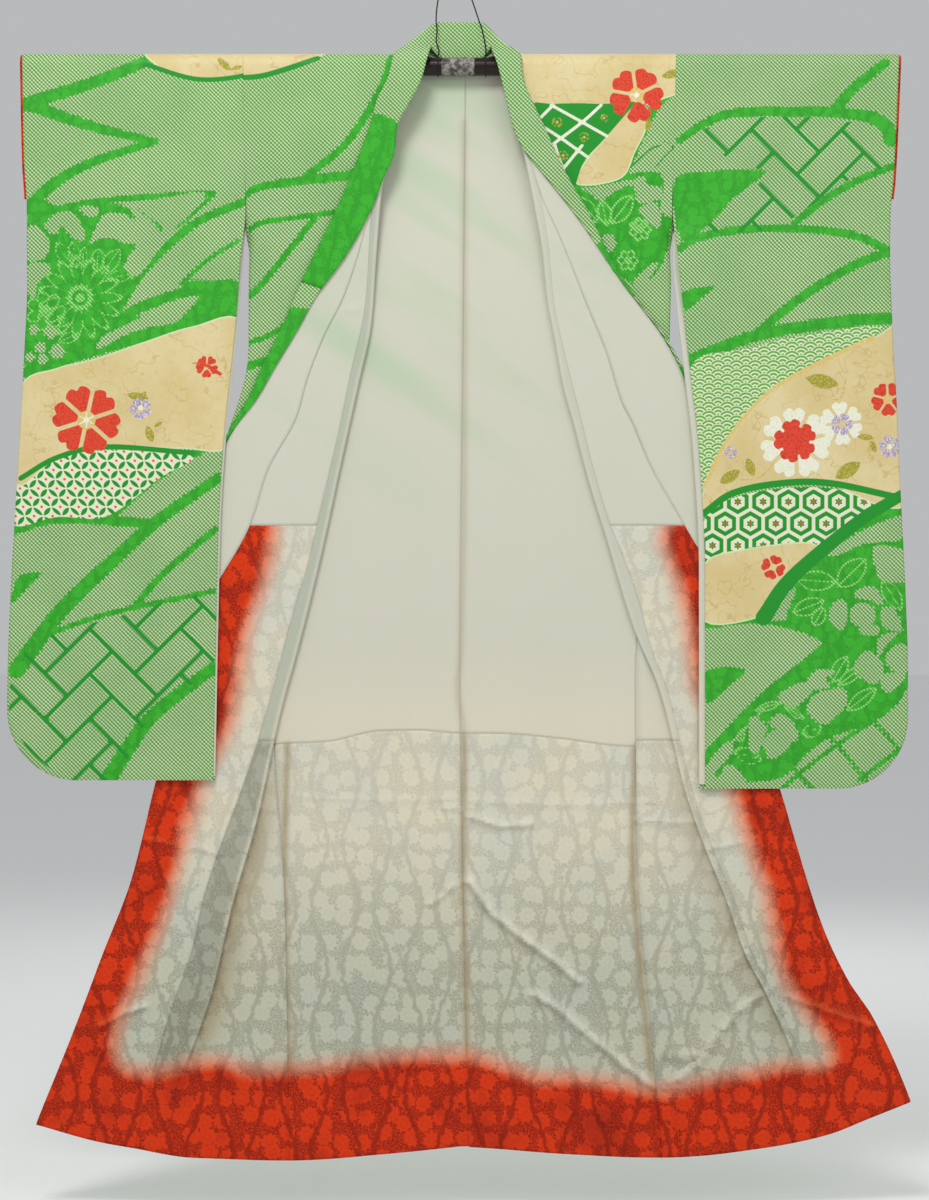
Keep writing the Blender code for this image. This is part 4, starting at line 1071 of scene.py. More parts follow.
frontsPicture = dict(
    corner=pictureCorner,
    unit=pixel,
    dotWidth=2.6,
    strokes=dict(
        trim=(
            (6, ((238, 79), (262, 77), (290, 69), (318, 59))), (6, ((536, 106), (575, 109), (636, 105))),
            (6, ((630, 106), (602, 138), (582, 160), (573, 184))), (2.5, ((655, 168), (672, 150),
            (690, 142))), (2.5, ((662, 140), (678, 152), (694, 170))), (2.5, ((630, 168), (650, 150),
            (660, 146))),
        ),
        tied=(
            (8, ((392, 58), (380, 92), (347, 143), (306, 177))), ((6, 11), ((238, 206), (255, 189),
            (301, 181), (356, 175))), (6, ((250, 229), (264, 222), (309, 216), (337, 212))),
            (7, ((314, 219), (286, 254), (263, 282), (250, 295))), (6, ((250, 342), (271, 334),
            (288, 322))), ((9, 7), ((245, 367), (275, 357), (296, 352))), (10, ((300, 318), (284, 350),
            (262, 385), (240, 420), (222, 445))), (8, ((678, 88), (658, 105), (644, 130), (634, 152),
            (622, 178))),
        ),
        white=(
            (3.6, ((601, 106), (582, 123), (550, 147))), (3.6, ((551, 106), (582, 123), (607, 137))),
            (3.6, ((534, 122), (561, 139), (588, 158))), (3.6, ((532, 127), (553, 106))), (3.6, ((560, 173),
            (582, 146))), (3.6, ((554, 144), (563, 170))),
        ),
    ),
    areas=dict(
        cloud=(
            ((238, 40), (330, 40), (314, 60), (290, 68), (262, 76), (238, 78)), ((500, 40), (700, 40),
            (690, 84), (660, 100), (632, 106), (575, 108), (520, 104)), ((628, 112), (645, 126), (634, 152),
            (620, 178), (578, 184), (586, 162), (606, 138)),
        ),
        trim=(((534, 108), (622, 108), (600, 138), (580, 160), (572, 190), (548, 146)),),
        tied=(
            ((570, 184), (622, 176), (640, 172), (662, 176), (662, 212), (672, 220), (662, 265), (634, 284),
            (596, 250), (576, 204)),
        ),
    ),
    kept=(
        ((581, 188), (601, 186), (626, 181), (632, 183), (614, 192), (601, 201), (591, 194)), ((630, 182),
        (644, 177), (648, 185), (660, 188), (660, 199), (638, 203), (636, 191)), ((639, 211), (646, 204),
        (658, 205), (660, 226), (653, 226), (646, 219)), ((599, 243), (607, 234), (615, 238), (615, 248),
        (606, 251)), ((634, 281), (653, 263), (657, 266), (641, 289)),
    ),
    dottedFlowers=(((640, 229), 11, 7), ((628, 260), 10, 6)),
    dottedLeaves=(
        ((612, 223), (632, 196), 17), ((607, 225), (602, 200), 12), ((597, 222), (578, 197), 14),
        ((632, 228), (647, 222), 9),
    ),
    flowers=(
        ("red", (636, 96), 28, 5, 10), ("gold", (636, 96), 9, 5, 0), ("leaf", (557, 123), 6, 9, 0),
        ("leaf", (584, 138), 6, 9, 10), ("leaf", (604, 119), 5, 9, 20), ("leaf", (563, 156), 6, 9, 0),
    ),
    discs=(
        ("white", (636, 96), 7), ("gold", (557, 123), 1.8), ("gold", (584, 138), 1.8), ("gold", (604, 119),
        1.6), ("gold", (563, 156), 1.8),
    ),
    leaves=(((660, 78), (684, 72), 9), ((650, 118), (646, 134), 7)),
)
# The back is out of sight in the picture. It gets the same patterns in a layout of its own.
backPicture = dict(
    corner=pictureCorner,
    unit=pixel,
    dotWidth=2.6,
    strokes=dict(
        tied=(
            (10, ((240, 120), (330, 160), (430, 150), (520, 110), (600, 60))), (8, ((240, 230), (330, 210),
            (420, 250), (560, 180), (690, 190))), ((14, 9), ((250, 420), (380, 360), (520, 330),
            (690, 300))), (12, ((255, 560), (360, 520), (470, 420), (560, 380))), ((16, 10), ((240, 660),
            (400, 640), (560, 560), (680, 480))), (16, ((120, 1010), (260, 990), (400, 960), (560, 1000),
            (720, 1010), (820, 990))), ((10, 16), ((200, 1130), (330, 1060), (480, 1040))),
        ),
        trim=((8, ((150, 870), (260, 800), (380, 780), (520, 800), (640, 860), (760, 870))),),
        gold=((5, ((230, 705), (340, 665), (460, 668), (580, 705), (700, 722))),),
        leaf=((2, ((330, 745), (355, 730), (385, 742))), (2, ((540, 760), (565, 742), (600, 752)))),
    ),
    areas=dict(
        cloud=(
            ((180, 760), (230, 708), (340, 668), (460, 671), (580, 708), (720, 728), (780, 870), (640, 856),
            (520, 796), (380, 776), (260, 796), (150, 866)),
        ),
        tied=(
            ((250, 250), (330, 228), (420, 266), (400, 330), (320, 360), (250, 345)), ((480, 1010),
            (600, 1010), (720, 1024), (790, 1010), (820, 1100), (640, 1120), (500, 1090)),
        ),
        shippo=(((160, 880), (262, 812), (380, 792), (470, 800), (430, 900), (300, 940), (150, 950)),),
        scales=(((480, 802), (640, 872), (760, 882), (780, 960), (600, 960), (450, 905)),),
    ),
    plaits=(
        (((230, 470), (400, 500), (540, 420), (700, 350), (690, 470), (560, 545), (400, 625), (240, 640)),
        32, 4.5),
    ),
    dottedFlowers=(((330, 296), 46, 12), ((560, 1052), 34, 9), ((650, 1066), 28, 8), ((740, 1052), 26, 7)),
    flowers=(
        ("red", (300, 738), 38, 6, 12), ("white", (430, 722), 38, 7, 10), ("red", (430, 722), 22, 5, 30),
        ("purple", (520, 762), 18, 5, 30), ("red", (630, 790), 30, 5, 15), ("purple", (700, 800), 16, 5, 0),
    ),
    discs=(("white", (300, 738), 8), ("red", (430, 722), 12), ("gold", (630, 790), 7)),
    leaves=(
        ((340, 760), (372, 772), 14), ((352, 700), (384, 690), 13), ((470, 690), (500, 698), 13),
        ((560, 730), (592, 742), 14), ((662, 760), (690, 752), 12), ((240, 772), (262, 786), 12),
    ),
)
collarPicture = dict(
    corner=pictureCorner,
    unit=pixel,
    areas=dict(
        tied=(
            ((330, 316), (200, 330), (180, 480), (180, 620), (300, 600), (320, 420)), ((640, 385),
            (720, 380), (740, 520), (700, 560), (650, 500)),
        ),
    ),
)
overcollarPicture = dict(
    corner=pictureCorner,
    unit=pixel,
    areas=dict(
        tied=(
            ((400, 126), (330, 122), (260, 200), (260, 320), (320, 330), (400, 200)), ((598, 244),
            (640, 230), (700, 340), (690, 390), (600, 320)),
        ),
    ),
)

# The hem lining is dyed cream inside this outline and shades to orange red outside it
hemCream = (
    (280, 480), (280, 523), (265, 583), (255, 620), (240, 680), (228, 740), (203, 785), (186, 850),
    (172, 900), (150, 960), (125, 1011), (117, 1052), (128, 1068), (162, 1071), (194, 1063), (216, 1060),
    (256, 1071), (319, 1067), (397, 1058), (469, 1053), (528, 1074), (575, 1077), (625, 1083), (653, 1089),
    (700, 1083), (778, 1067), (822, 1064), (825, 1045), (809, 1017), (791, 992), (778, 961), (766, 911),
    (747, 842), (728, 789), (710, 730), (692, 674), (679, 594), (661, 539), (650, 480),
)
liningSeams = (
    ((464, 120), (464, 460), (461, 640), (458, 690), (464, 745), (463, 867), (466, 1000), (469, 1147)),
    ((287, 745), (284, 850), (285, 960), (289, 1075), (290, 1150)),
    ((636, 745), (633, 860), (640, 960), (650, 1060), (660, 1150)),
)

# Shades on the lining, among them a painted shadow beside each fold: widths in picture pixels, levels in
# metres
hemShade = dict(margin=60, middle=0.42, width=44)
seamShade = dict(width=3.8)
# the painted shadow beside each fold: its strength on each side, its width, and where it fades in and out
foldShade = dict(
    left=1.0, right=0.6, start=1.5, width=19, top=-0.98, topFade=0.20, bottom=-1.56, bottomFade=0.12,
)
turnedShade = dict(left=1.0, right=0.35, edge=0.006)


def shadeSeams(obj, side=None):
    # tan lines along the seams, a painted shadow beside each fold, and the turned out strip in a shade of
    # its own
    x, z = planePoints(obj)
    px, py = picturePlace(x, z)
    line = np.zeros(px.shape)
    turned = np.zeros(px.shape)
    if side is None:
        for points in liningSeams:
            line = np.maximum(line, np.exp(-(strokeDepth(px, py, points, 0.0) / seamShade["width"]) ** 2))
    else:
        beyond = np.abs(x) - along(lines[side]["fold"], z)
        turned = smooth(beyond / turnedShade["edge"]) * turnedShade[side]
    # painted shadow on the lining beside each open fold, low on the garment, kept in the seam field
    low = smooth((foldShade["top"] - z) / foldShade["topFade"])
    low *= smooth((z - foldShade["bottom"]) / foldShade["bottomFade"])
    for way, name in ((-1, "left"), (1, "right")):
        away = (along(lines[name]["fold"], z) - way * x) / pixel
        shade = smooth(away / foldShade["start"]) * np.exp(-(away / foldShade["width"]) ** 2)
        line = np.maximum(line, foldShade[name] * low * (way * x > 0) * shade)
    setField(obj, "seam", line)
    setField(obj, "turned", turned)


def shadeHem(obj):
    x, z = planePoints(obj)
    depth = areaDepth(*picturePlace(x, z), hemCream, margin=hemShade["margin"])
    setField(obj, "redness", np.clip(hemShade["middle"] - depth / hemShade["width"], 0, 1))
    # painted highlight and painted shade on the two sides of each crease
    setField(obj, "paintedCreaseShading", creasesAt(x, z)[1])


# Small helpers for shader nodes
def feed(tree, socket, value):
    if isinstance(value, bpy.types.NodeSocket):
        tree.links.new(value, socket)
    elif value is not None:
        socket.default_value = value


def fedNode(tree, kind, values, **settings):
    node = tree.nodes.new("ShaderNode" + kind)
    for name, value in settings.items():
        setattr(node, name, value)
    for socket, value in zip(node.inputs, values):
        feed(tree, socket, value)
    return node


def maths(tree, operation, *values):
    return fedNode(tree, "Math", values, operation=operation).outputs[0]


def plus(tree, first, second):
    return maths(tree, "ADD", first, second)


def minus(tree, first, second):
    return maths(tree, "SUBTRACT", first, second)


def times(tree, first, second):
    return maths(tree, "MULTIPLY", first, second)


def timesPlus(tree, first, second, third):
    return maths(tree, "MULTIPLY_ADD", first, second, third)


def larger(tree, first, second):
    return maths(tree, "MAXIMUM", first, second)


def lengthOf(tree, x, z):
    node = fedNode(tree, "VectorMath", (vectorOf(tree, x, z, 0.0),), operation="LENGTH")
    return node.outputs["Value"]


def blend(tree, share, first, second, strength=None):
    # from the first colour to the second, by the share and how strong it may get
    node = tree.nodes.new("ShaderNodeMix")
    node.data_type = "RGBA"
    feed(tree, node.inputs[0], share if strength is None else times(tree, share, strength))
    feed(tree, node.inputs[6], first)
    feed(tree, node.inputs[7], second)
    return node.outputs[2]


def remap(tree, value, low, high, newLow=0.0, newHigh=1.0):
    values = (value, low, high, newLow, newHigh)
    return fedNode(tree, "MapRange", values, interpolation_type="SMOOTHSTEP").outputs[0]


def noise(tree, position, scale, detail=3.0, roughness=0.5):
    node = tree.nodes.new("ShaderNodeTexNoise")
    feed(tree, node.inputs["Vector"], position)
    node.inputs["Scale"].default_value = scale
    node.inputs["Detail"].default_value = detail
    node.inputs["Roughness"].default_value = roughness
    return node.outputs[0]


def axes(tree, position):
    return tuple(fedNode(tree, "SeparateXYZ", (position,)).outputs)


def vectorOf(tree, x, y, z):
    return fedNode(tree, "CombineXYZ", (x, y, z)).outputs[0]


def startGroup(name, inputs, outputs):
    tree = bpy.data.node_groups.new(name, "ShaderNodeTree")
    for title, value in inputs.items():
        kind = "NodeSocketVector" if value is None else "NodeSocketFloat"
        socket = tree.interface.new_socket(title, in_out="INPUT", socket_type=kind)
        if value is not None:
            socket.default_value = value
    for title in outputs:
        tree.interface.new_socket(title, in_out="OUTPUT", socket_type="NodeSocketFloat")
    return tree, tree.nodes.new("NodeGroupInput").outputs, tree.nodes.new("NodeGroupOutput").inputs


def useGroup(tree, group, **values):
    node = tree.nodes.new("ShaderNodeGroup")
    node.node_tree = group
    for title, value in values.items():
        feed(tree, node.inputs[title], value)
    return node.outputs


def dyed(red, green, blue):
    # a colour given as it looks on screen, 0 to 255
    return tuple(((value / 255 + 0.055) / 1.055) ** 2.4 for value in (red, green, blue)) + (1.0,)


def apart(tree, first, second):
    return maths(tree, "ABSOLUTE", minus(tree, first, second))


def makeFieldEdge():
    tree, given, result = startGroup("fieldEdge", {"Depth": 0.0, "Soft": 0.0007}, ["Mask"])
    feed(tree, result["Mask"], remap(tree, given["Depth"], 0.0, given["Soft"]))
    return tree


def makeTiedEdge():
    # the tied dots leave teeth along every edge of a dyed band
    tree, given, result = startGroup(
        "tiedEdge", {"Position": None, "Depth": 0.0, "Pitch": 0.0066, "Bite": 0.0011}, ["Depth"]
    )
    x, _, z = axes(tree, given["Position"])
    turn = maths(tree, "DIVIDE", 2 * math.pi, given["Pitch"])
    across = maths(tree, "SINE", times(tree, x, turn))
    down = maths(tree, "SINE", times(tree, z, turn))
    uneven = minus(tree, noise(tree, given["Position"], 170.0, 1.0), 0.5)
    teeth = timesPlus(tree, down, 0.5, across)
    teeth = timesPlus(tree, uneven, 1.2, teeth)
    feed(tree, result["Depth"], timesPlus(tree, teeth, given["Bite"], given["Depth"]))
    return tree


def makeKanoko():
    # rows of small tied puffs on the slant
    tree, given, result = startGroup("kanokoMesh", {"Position": None, "Pitch": 0.0060}, ["Mesh"])
    x, _, z = axes(tree, given["Position"])
    wobble = times(tree, noise(tree, given["Position"], 34.0, 2.0), 0.0034)
    turn = maths(tree, "DIVIDE", 2 * math.pi, given["Pitch"])
    waves = []
    for value in (plus(tree, x, z), minus(tree, x, z)):
        wave = maths(tree, "COSINE", times(tree, plus(tree, value, wobble), turn))
        waves.append(timesPlus(tree, wave, 0.5, 0.5))
    mesh = times(tree, waves[0], timesPlus(tree, waves[1], 0.75, 0.25))
    feed(tree, result["Mesh"], remap(tree, mesh, 0.05, 0.5))
    return tree


def makeDamask():
    # pale serrated blossoms packed close, with pairs of upright vines that swing together and apart
    tree, given, result = startGroup(
        "damaskWeave", {"Position": None, "Wide": 0.094, "High": 0.187, "Bloom": 0.030}, ["Ground", "Vine"]
    )
    x, _, z = axes(tree, given["Position"])
    rough = minus(tree, noise(tree, given["Position"], 95.0, 3.0, 0.6), 0.5)
    shaken = timesPlus(tree, rough, 0.010, x)
    turn = times(tree, maths(tree, "DIVIDE", z, given["High"]), 2 * math.pi)
    swing = timesPlus(tree, maths(tree, "SINE", turn), 0.13, 0.25)
    half = times(tree, given["Wide"], 0.5)
    inCell = maths(tree, "PINGPONG", timesPlus(tree, rough, 0.009, shaken), half)
    nearest = apart(tree, inCell, times(tree, swing, given["Wide"]))
    leafy = timesPlus(tree, noise(tree, given["Position"], 260.0, 2.0, 0.7), 0.8, 0.35)
    feed(tree, result["Vine"], times(tree, remap(tree, nearest, 0.0058, 0.0018), leafy))
    flatZ = timesPlus(tree, rough, -0.010, z)
    cells = tree.nodes.new("ShaderNodeTexVoronoi")
    cells.voronoi_dimensions = "2D"
    cells.inputs["Randomness"].default_value = 0.62
    shrunk = maths(tree, "DIVIDE", 1.0, given["Bloom"])
    chartX, chartZ = times(tree, shaken, shrunk), times(tree, flatZ, shrunk)
    feed(tree, cells.inputs["Vector"], vectorOf(tree, chartX, chartZ, 0.0))
    cells.inputs["Scale"].default_value = 1.0
    cellX, cellZ, _ = axes(tree, cells.outputs["Position"])
    around = maths(tree, "ARCTAN2", minus(tree, chartX, cellX), minus(tree, chartZ, cellZ))
    petal = maths(tree, "COSINE", times(tree, around, 9.0))
    reach = timesPlus(tree, petal, 0.045, 0.40)
    between = remap(tree, minus(tree, cells.outputs["Distance"], reach), -0.02, 0.05)
    flat = vectorOf(tree, shaken, 0.0, flatZ)
    specks = remap(tree, noise(tree, flat, 420.0, 2.0, 0.7), 0.36, 0.60)
    rim = remap(tree, apart(tree, cells.outputs["Distance"], 0.17), 0.05, 0.0)
    between = larger(tree, between, times(tree, rim, 0.35))
    feed(tree, result["Ground"], times(tree, between, specks))
    return tree


def makeSilkGrain():
    # the fine crepe of the weave and slow changes of tone
    tree, given, result = startGroup("silkGrain", {"Position": None}, ["Grain", "Tone"])
    feed(tree, result["Grain"], noise(tree, given["Position"], 1400.0, 2.0))
    feed(tree, result["Tone"], remap(tree, noise(tree, given["Position"], 9.0, 4.0, 0.6), 0.3, 0.7))
    return tree


def wrapped(tree, x, z, wide, high):
    # the place inside the nearest cell of an even lattice
    return [maths(tree, "WRAP", value, size / 2, -size / 2) for value, size in ((x, wide), (z, high))]


def makeShippo(pitch=0.0276):
    # seven treasures: even circles that overlap by a quarter
    tree, given, result = startGroup("sevenTreasures", {"Position": None}, ["Petal", "Dot"])
    x, _, z = axes(tree, given["Position"])
    x = timesPlus(tree, z, 0.18, x)
    radii = []
    for shift in (0.0, pitch / 2):
        spot = wrapped(tree, plus(tree, x, shift), plus(tree, z, shift), pitch, pitch)
        radii.append(lengthOf(tree, *spot))
    inside = minus(tree, pitch / 2, larger(tree, *radii))
    feed(tree, result["Petal"], remap(tree, inside, 0.0006, 0.0013))
    feed(tree, result["Dot"], remap(tree, maths(tree, "MINIMUM", *radii), 0.0023, 0.0015))
    return tree


def makeScales(radius=0.0138):
    # blue sea waves: rows of round scales, each row over the one above it
    tree, given, result = startGroup("seaWaves", {"Position": None}, ["Arc"])
    x, _, z = axes(tree, given["Position"])
    step = radius / 2
    row = maths(tree, "CEIL", maths(tree, "DIVIDE", minus(tree, z, radius), step))
    chosen = None
    for k in (3, 2, 1, 0):
        index = plus(tree, row, float(k))
        odd = times(tree, maths(tree, "PINGPONG", index, 1.0), radius)
        nearX = maths(tree, "WRAP", plus(tree, x, odd), radius, -radius)
        distance = lengthOf(tree, nearX, minus(tree, z, times(tree, index, step)))
        if chosen is None:
            chosen = distance
        else:
            inside = maths(tree, "LESS_THAN", distance, radius)
            change = minus(tree, distance, chosen)
            chosen = timesPlus(tree, change, inside, chosen)
    inward = minus(tree, radius, chosen)
    ring = maths(tree, "COSINE", times(tree, inward, 2 * math.pi * 2.6 / radius))
    feed(tree, result["Arc"], remap(tree, ring, -0.1, 0.5))
    return tree


def makeHexes(pitch=0.0378):
    # tortoise shell: six-sided cells with a second line inside and a small flower
    tree, given, result = startGroup("tortoiseShell", {"Position": None}, ["Line", "Flower", "Eye"])
    x, _, z = axes(tree, given["Position"])
    high = pitch * math.sqrt(3)
    cells = []
    for shift in (0.0, 0.5):
        shifted = plus(tree, x, pitch * shift), plus(tree, z, high * shift)
        nearX, nearZ = wrapped(tree, *shifted, pitch, high)
        flatX, flatZ = maths(tree, "ABSOLUTE", nearX), maths(tree, "ABSOLUTE", nearZ)
        slant = timesPlus(tree, flatZ, math.sqrt(3) / 2, times(tree, flatX, 0.5))
        reach = larger(tree, flatX, slant)
        radius = lengthOf(tree, nearX, nearZ)
        petal = maths(tree, "COSINE", times(tree, maths(tree, "ARCTAN2", nearX, nearZ), 6.0))
        petal = timesPlus(tree, petal, 0.0012, 0.0052)
        cells.append((reach, minus(tree, petal, radius), radius))
    reaches, flowers, radii = zip(*cells)
    reach = maths(tree, "MINIMUM", *reaches)
    outer = times(tree, remap(tree, reach, 0.0098, 0.0108), remap(tree, reach, 0.0168, 0.0158))
    feed(tree, result["Line"], outer)
    feed(tree, result["Flower"], remap(tree, larger(tree, *flowers), 0.0, 0.0008))
    feed(tree, result["Eye"], remap(tree, maths(tree, "MINIMUM", *radii), 0.0024, 0.0016))
    return tree


groups = dict(
    edge=makeFieldEdge(), teeth=makeTiedEdge(), kanoko=makeKanoko(), damask=makeDamask(),
    grain=makeSilkGrain(), shippo=makeShippo(), scales=makeScales(), hexes=makeHexes(),
)

print("shader groups made")

dyes = dict(
    puff=dyed(203, 226, 178),
    tie=dyed(88, 146, 56),
    green=dyed(24, 134, 24),
    greenShine=dyed(56, 176, 40),
    trim=dyed(26, 146, 38),
    dotted=dyed(158, 220, 128),
    ground=dyed(228, 230, 200),
    waveGreen=dyed(96, 172, 62),
    cloud=dyed(214, 194, 136),
    cloudLight=dyed(224, 209, 160),
    cloudLine=dyed(196, 164, 104),
    rim=dyed(214, 228, 178),
    white=dyed(240, 236, 222),
    red=dyed(228, 72, 44),
    redDeep=dyed(190, 44, 26),
    purple=dyed(164, 146, 186),
    leaf=dyed(150, 152, 46),
    gold=dyed(220, 188, 96),
    silk=dyed(209, 208, 191),
    silkGreen=dyed(188, 204, 174),
    hemPale=dyed(212, 212, 196),
    hemWarm=dyed(224, 216, 190),
    hemGrey=dyed(174, 182, 162),
    hemFigure=dyed(124, 122, 104),
    seamTanAndFoldShadow=dyed(158, 140, 104),
    hemShade=dyed(158, 160, 142),
    # painted highlight and painted shade for the two sides of the creases
    paintedCreaseHighlight=dyed(240, 236, 222),
    creaseShade=dyed(104, 98, 78),
    hemOrange=dyed(236, 108, 54),
    hemRed=dyed(218, 56, 10),
    hemDeep=dyed(98, 6, 0),
)
finishes = {}


def startMaterial(name, settings):
    made = bpy.data.materials.new(name)
    made.use_nodes = True
    shader = made.node_tree.nodes["Principled BSDF"]
    for title, value in settings.items():
        shader.inputs[title].default_value = value
    finishes[name] = made
    return made.node_tree, shader


def clothLook(roughness, sheen, shine=0.28):
    return {
        "Roughness": roughness, "Sheen Weight": sheen, "Sheen Roughness": 0.4, "Specular IOR Level": shine,
    }


def placeOf(tree):
    return tree.nodes.new("ShaderNodeNewGeometry").outputs["Position"]


def fieldOf(tree, name):
    node = tree.nodes.new("ShaderNodeAttribute")
    node.attribute_type = "GEOMETRY"
    node.attribute_name = name
    return node.outputs["Fac"]


def raiseSurface(tree, shader, height, strength=0.6):
    bump = tree.nodes.new("ShaderNodeBump")
    bump.inputs["Strength"].default_value = strength
    bump.inputs["Distance"].default_value = 0.001
    feed(tree, bump.inputs["Height"], height)
    feed(tree, shader.inputs["Normal"], bump.outputs[0])


def makeOuterCloth(name, drawn):
    # tie-dyed crepe: pale puffs, solid green, then the patterned and embroidered shapes over them
    tree, shader = startMaterial(name, clothLook(0.7, 0.10))
    position = placeOf(tree)
    grain = useGroup(tree, groups["grain"], Position=position)
    puffs = useGroup(tree, groups["kanoko"], Position=position)
    damask = useGroup(tree, groups["damask"], Position=position, Wide=0.070, High=0.140, Bloom=0.017)
    pale = blend(tree, puffs["Mesh"], dyes["tie"], dyes["puff"])
    pale = blend(tree, grain["Tone"], pale, dyes["green"], 0.16)
    depth = useGroup(tree, groups["teeth"], Position=position, Depth=fieldOf(tree, "tied"))["Depth"]
    flat = useGroup(tree, groups["edge"], Depth=depth, Soft=0.0008)["Mask"]
    figure = larger(tree, damask["Ground"], damask["Vine"])
    colour = blend(tree, flat, pale, blend(tree, figure, dyes["greenShine"], dyes["green"], 0.6))
    sewn = None

    def maskOf(field):
        return useGroup(tree, groups["edge"], Depth=fieldOf(tree, field), Soft=0.0009)["Mask"]

    def lay(field, layer):
        nonlocal colour, flat
        mask = maskOf(field)
        colour = blend(tree, mask, colour, layer)
        flat = larger(tree, flat, mask)
        return mask

    if drawn:
        dots = times(tree, maskOf("dotted"), remap(tree, puffs["Mesh"], 0.1, 0.4))
        colour = blend(tree, dots, colour, dyes["dotted"])
        treasures = useGroup(tree, groups["shippo"], Position=position)
        layer = blend(tree, treasures["Petal"], dyes["ground"], dyes["trim"])
        lay("shippo", blend(tree, treasures["Dot"], layer, dyes["red"]))
        waves = useGroup(tree, groups["scales"], Position=position)
        lay("scales", blend(tree, waves["Arc"], dyes["waveGreen"], dyes["ground"]))
        shell = useGroup(tree, groups["hexes"], Position=position)
        layer = blend(tree, shell["Line"], dyes["ground"], dyes["trim"])
        layer = blend(tree, shell["Flower"], layer, dyes["trim"])
        lay("hexes", blend(tree, shell["Eye"], layer, dyes["red"]))
        # a pale rim round the clouds, but none where the panel has no cloud at all
        cloudDepth = fieldOf(tree, "cloud")
        present = maths(tree, "GREATER_THAN", maths(tree, "ABSOLUTE", cloudDepth), 1e-6)
        colour = blend(tree, remap(tree, cloudDepth, -0.0022, -0.0012), colour, dyes["rim"], present)
        veins = remap(tree, apart(tree, noise(tree, position, 26.0, 2.0), 0.5), 0.012, 0.003)
        flakes = remap(tree, noise(tree, position, 95.0, 3.0, 0.7), 0.52, 0.66)
        layer = blend(tree, grain["Tone"], dyes["cloud"], dyes["cloudLight"])
        layer = blend(tree, flakes, layer, dyes["gold"], 0.35)
        lay("cloud", blend(tree, veins, layer, dyes["cloudLine"], 0.5))
        lay("trim", dyes["trim"])
        thread = noise(tree, position, 420.0, 2.0)
        twist = remap(tree, thread, 0.42, 0.72)
        for field, second in (
            ("white", "rim"), ("gold", "cloudLight"), ("leaf", "gold"), ("purple", "white"),
            ("red", "redDeep"),
        ):
            mask = lay(field, blend(tree, twist, dyes[field], dyes[second]))
            sewn = mask if sewn is None else larger(tree, sewn, mask)
    raised = times(tree, minus(tree, 1.0, flat), puffs["Mesh"])
    if drawn:
        raised = plus(tree, raised, times(tree, sewn, timesPlus(tree, thread, 0.5, 0.35)))
    feed(tree, shader.inputs["Base Color"], colour)
    feed(tree, shader.inputs["Roughness"], timesPlus(tree, flat, -0.22, 0.74))
    raiseSurface(tree, shader, timesPlus(tree, grain["Grain"], 0.10, times(tree, raised, 0.55)))


def makeWhiteSilk():
    tree, shader = startMaterial("white_silk", clothLook(0.5, 0.08))
    position = placeOf(tree)
    grain = useGroup(tree, groups["grain"], Position=position)
    x, _, z = axes(tree, position)
    # slanting bands of green where the outer cloth shows through
    slant = times(tree, timesPlus(tree, x, 0.6, z), 5.0)
    bands = noise(tree, vectorOf(tree, times(tree, x, 1.2), 0.0, slant), 1.6, 2.0)
    through = times(tree, remap(tree, bands, 0.42, 0.68), remap(tree, z, -0.75, -0.35))
    colour = blend(tree, through, dyes["silk"], dyes["silkGreen"])
    colour = blend(tree, remap(tree, z, -0.85, -1.0), colour, dyes["hemWarm"], 0.5)
    colour = blend(tree, fieldOf(tree, "turned"), colour, dyes["hemGrey"], 0.8)
    # tan along the seams and painted shadow beside the folds
    colour = blend(tree, fieldOf(tree, "seam"), colour, dyes["seamTanAndFoldShadow"], 0.35)
    feed(tree, shader.inputs["Base Color"], colour)
    raiseSurface(tree, shader, times(tree, grain["Grain"], 0.08))


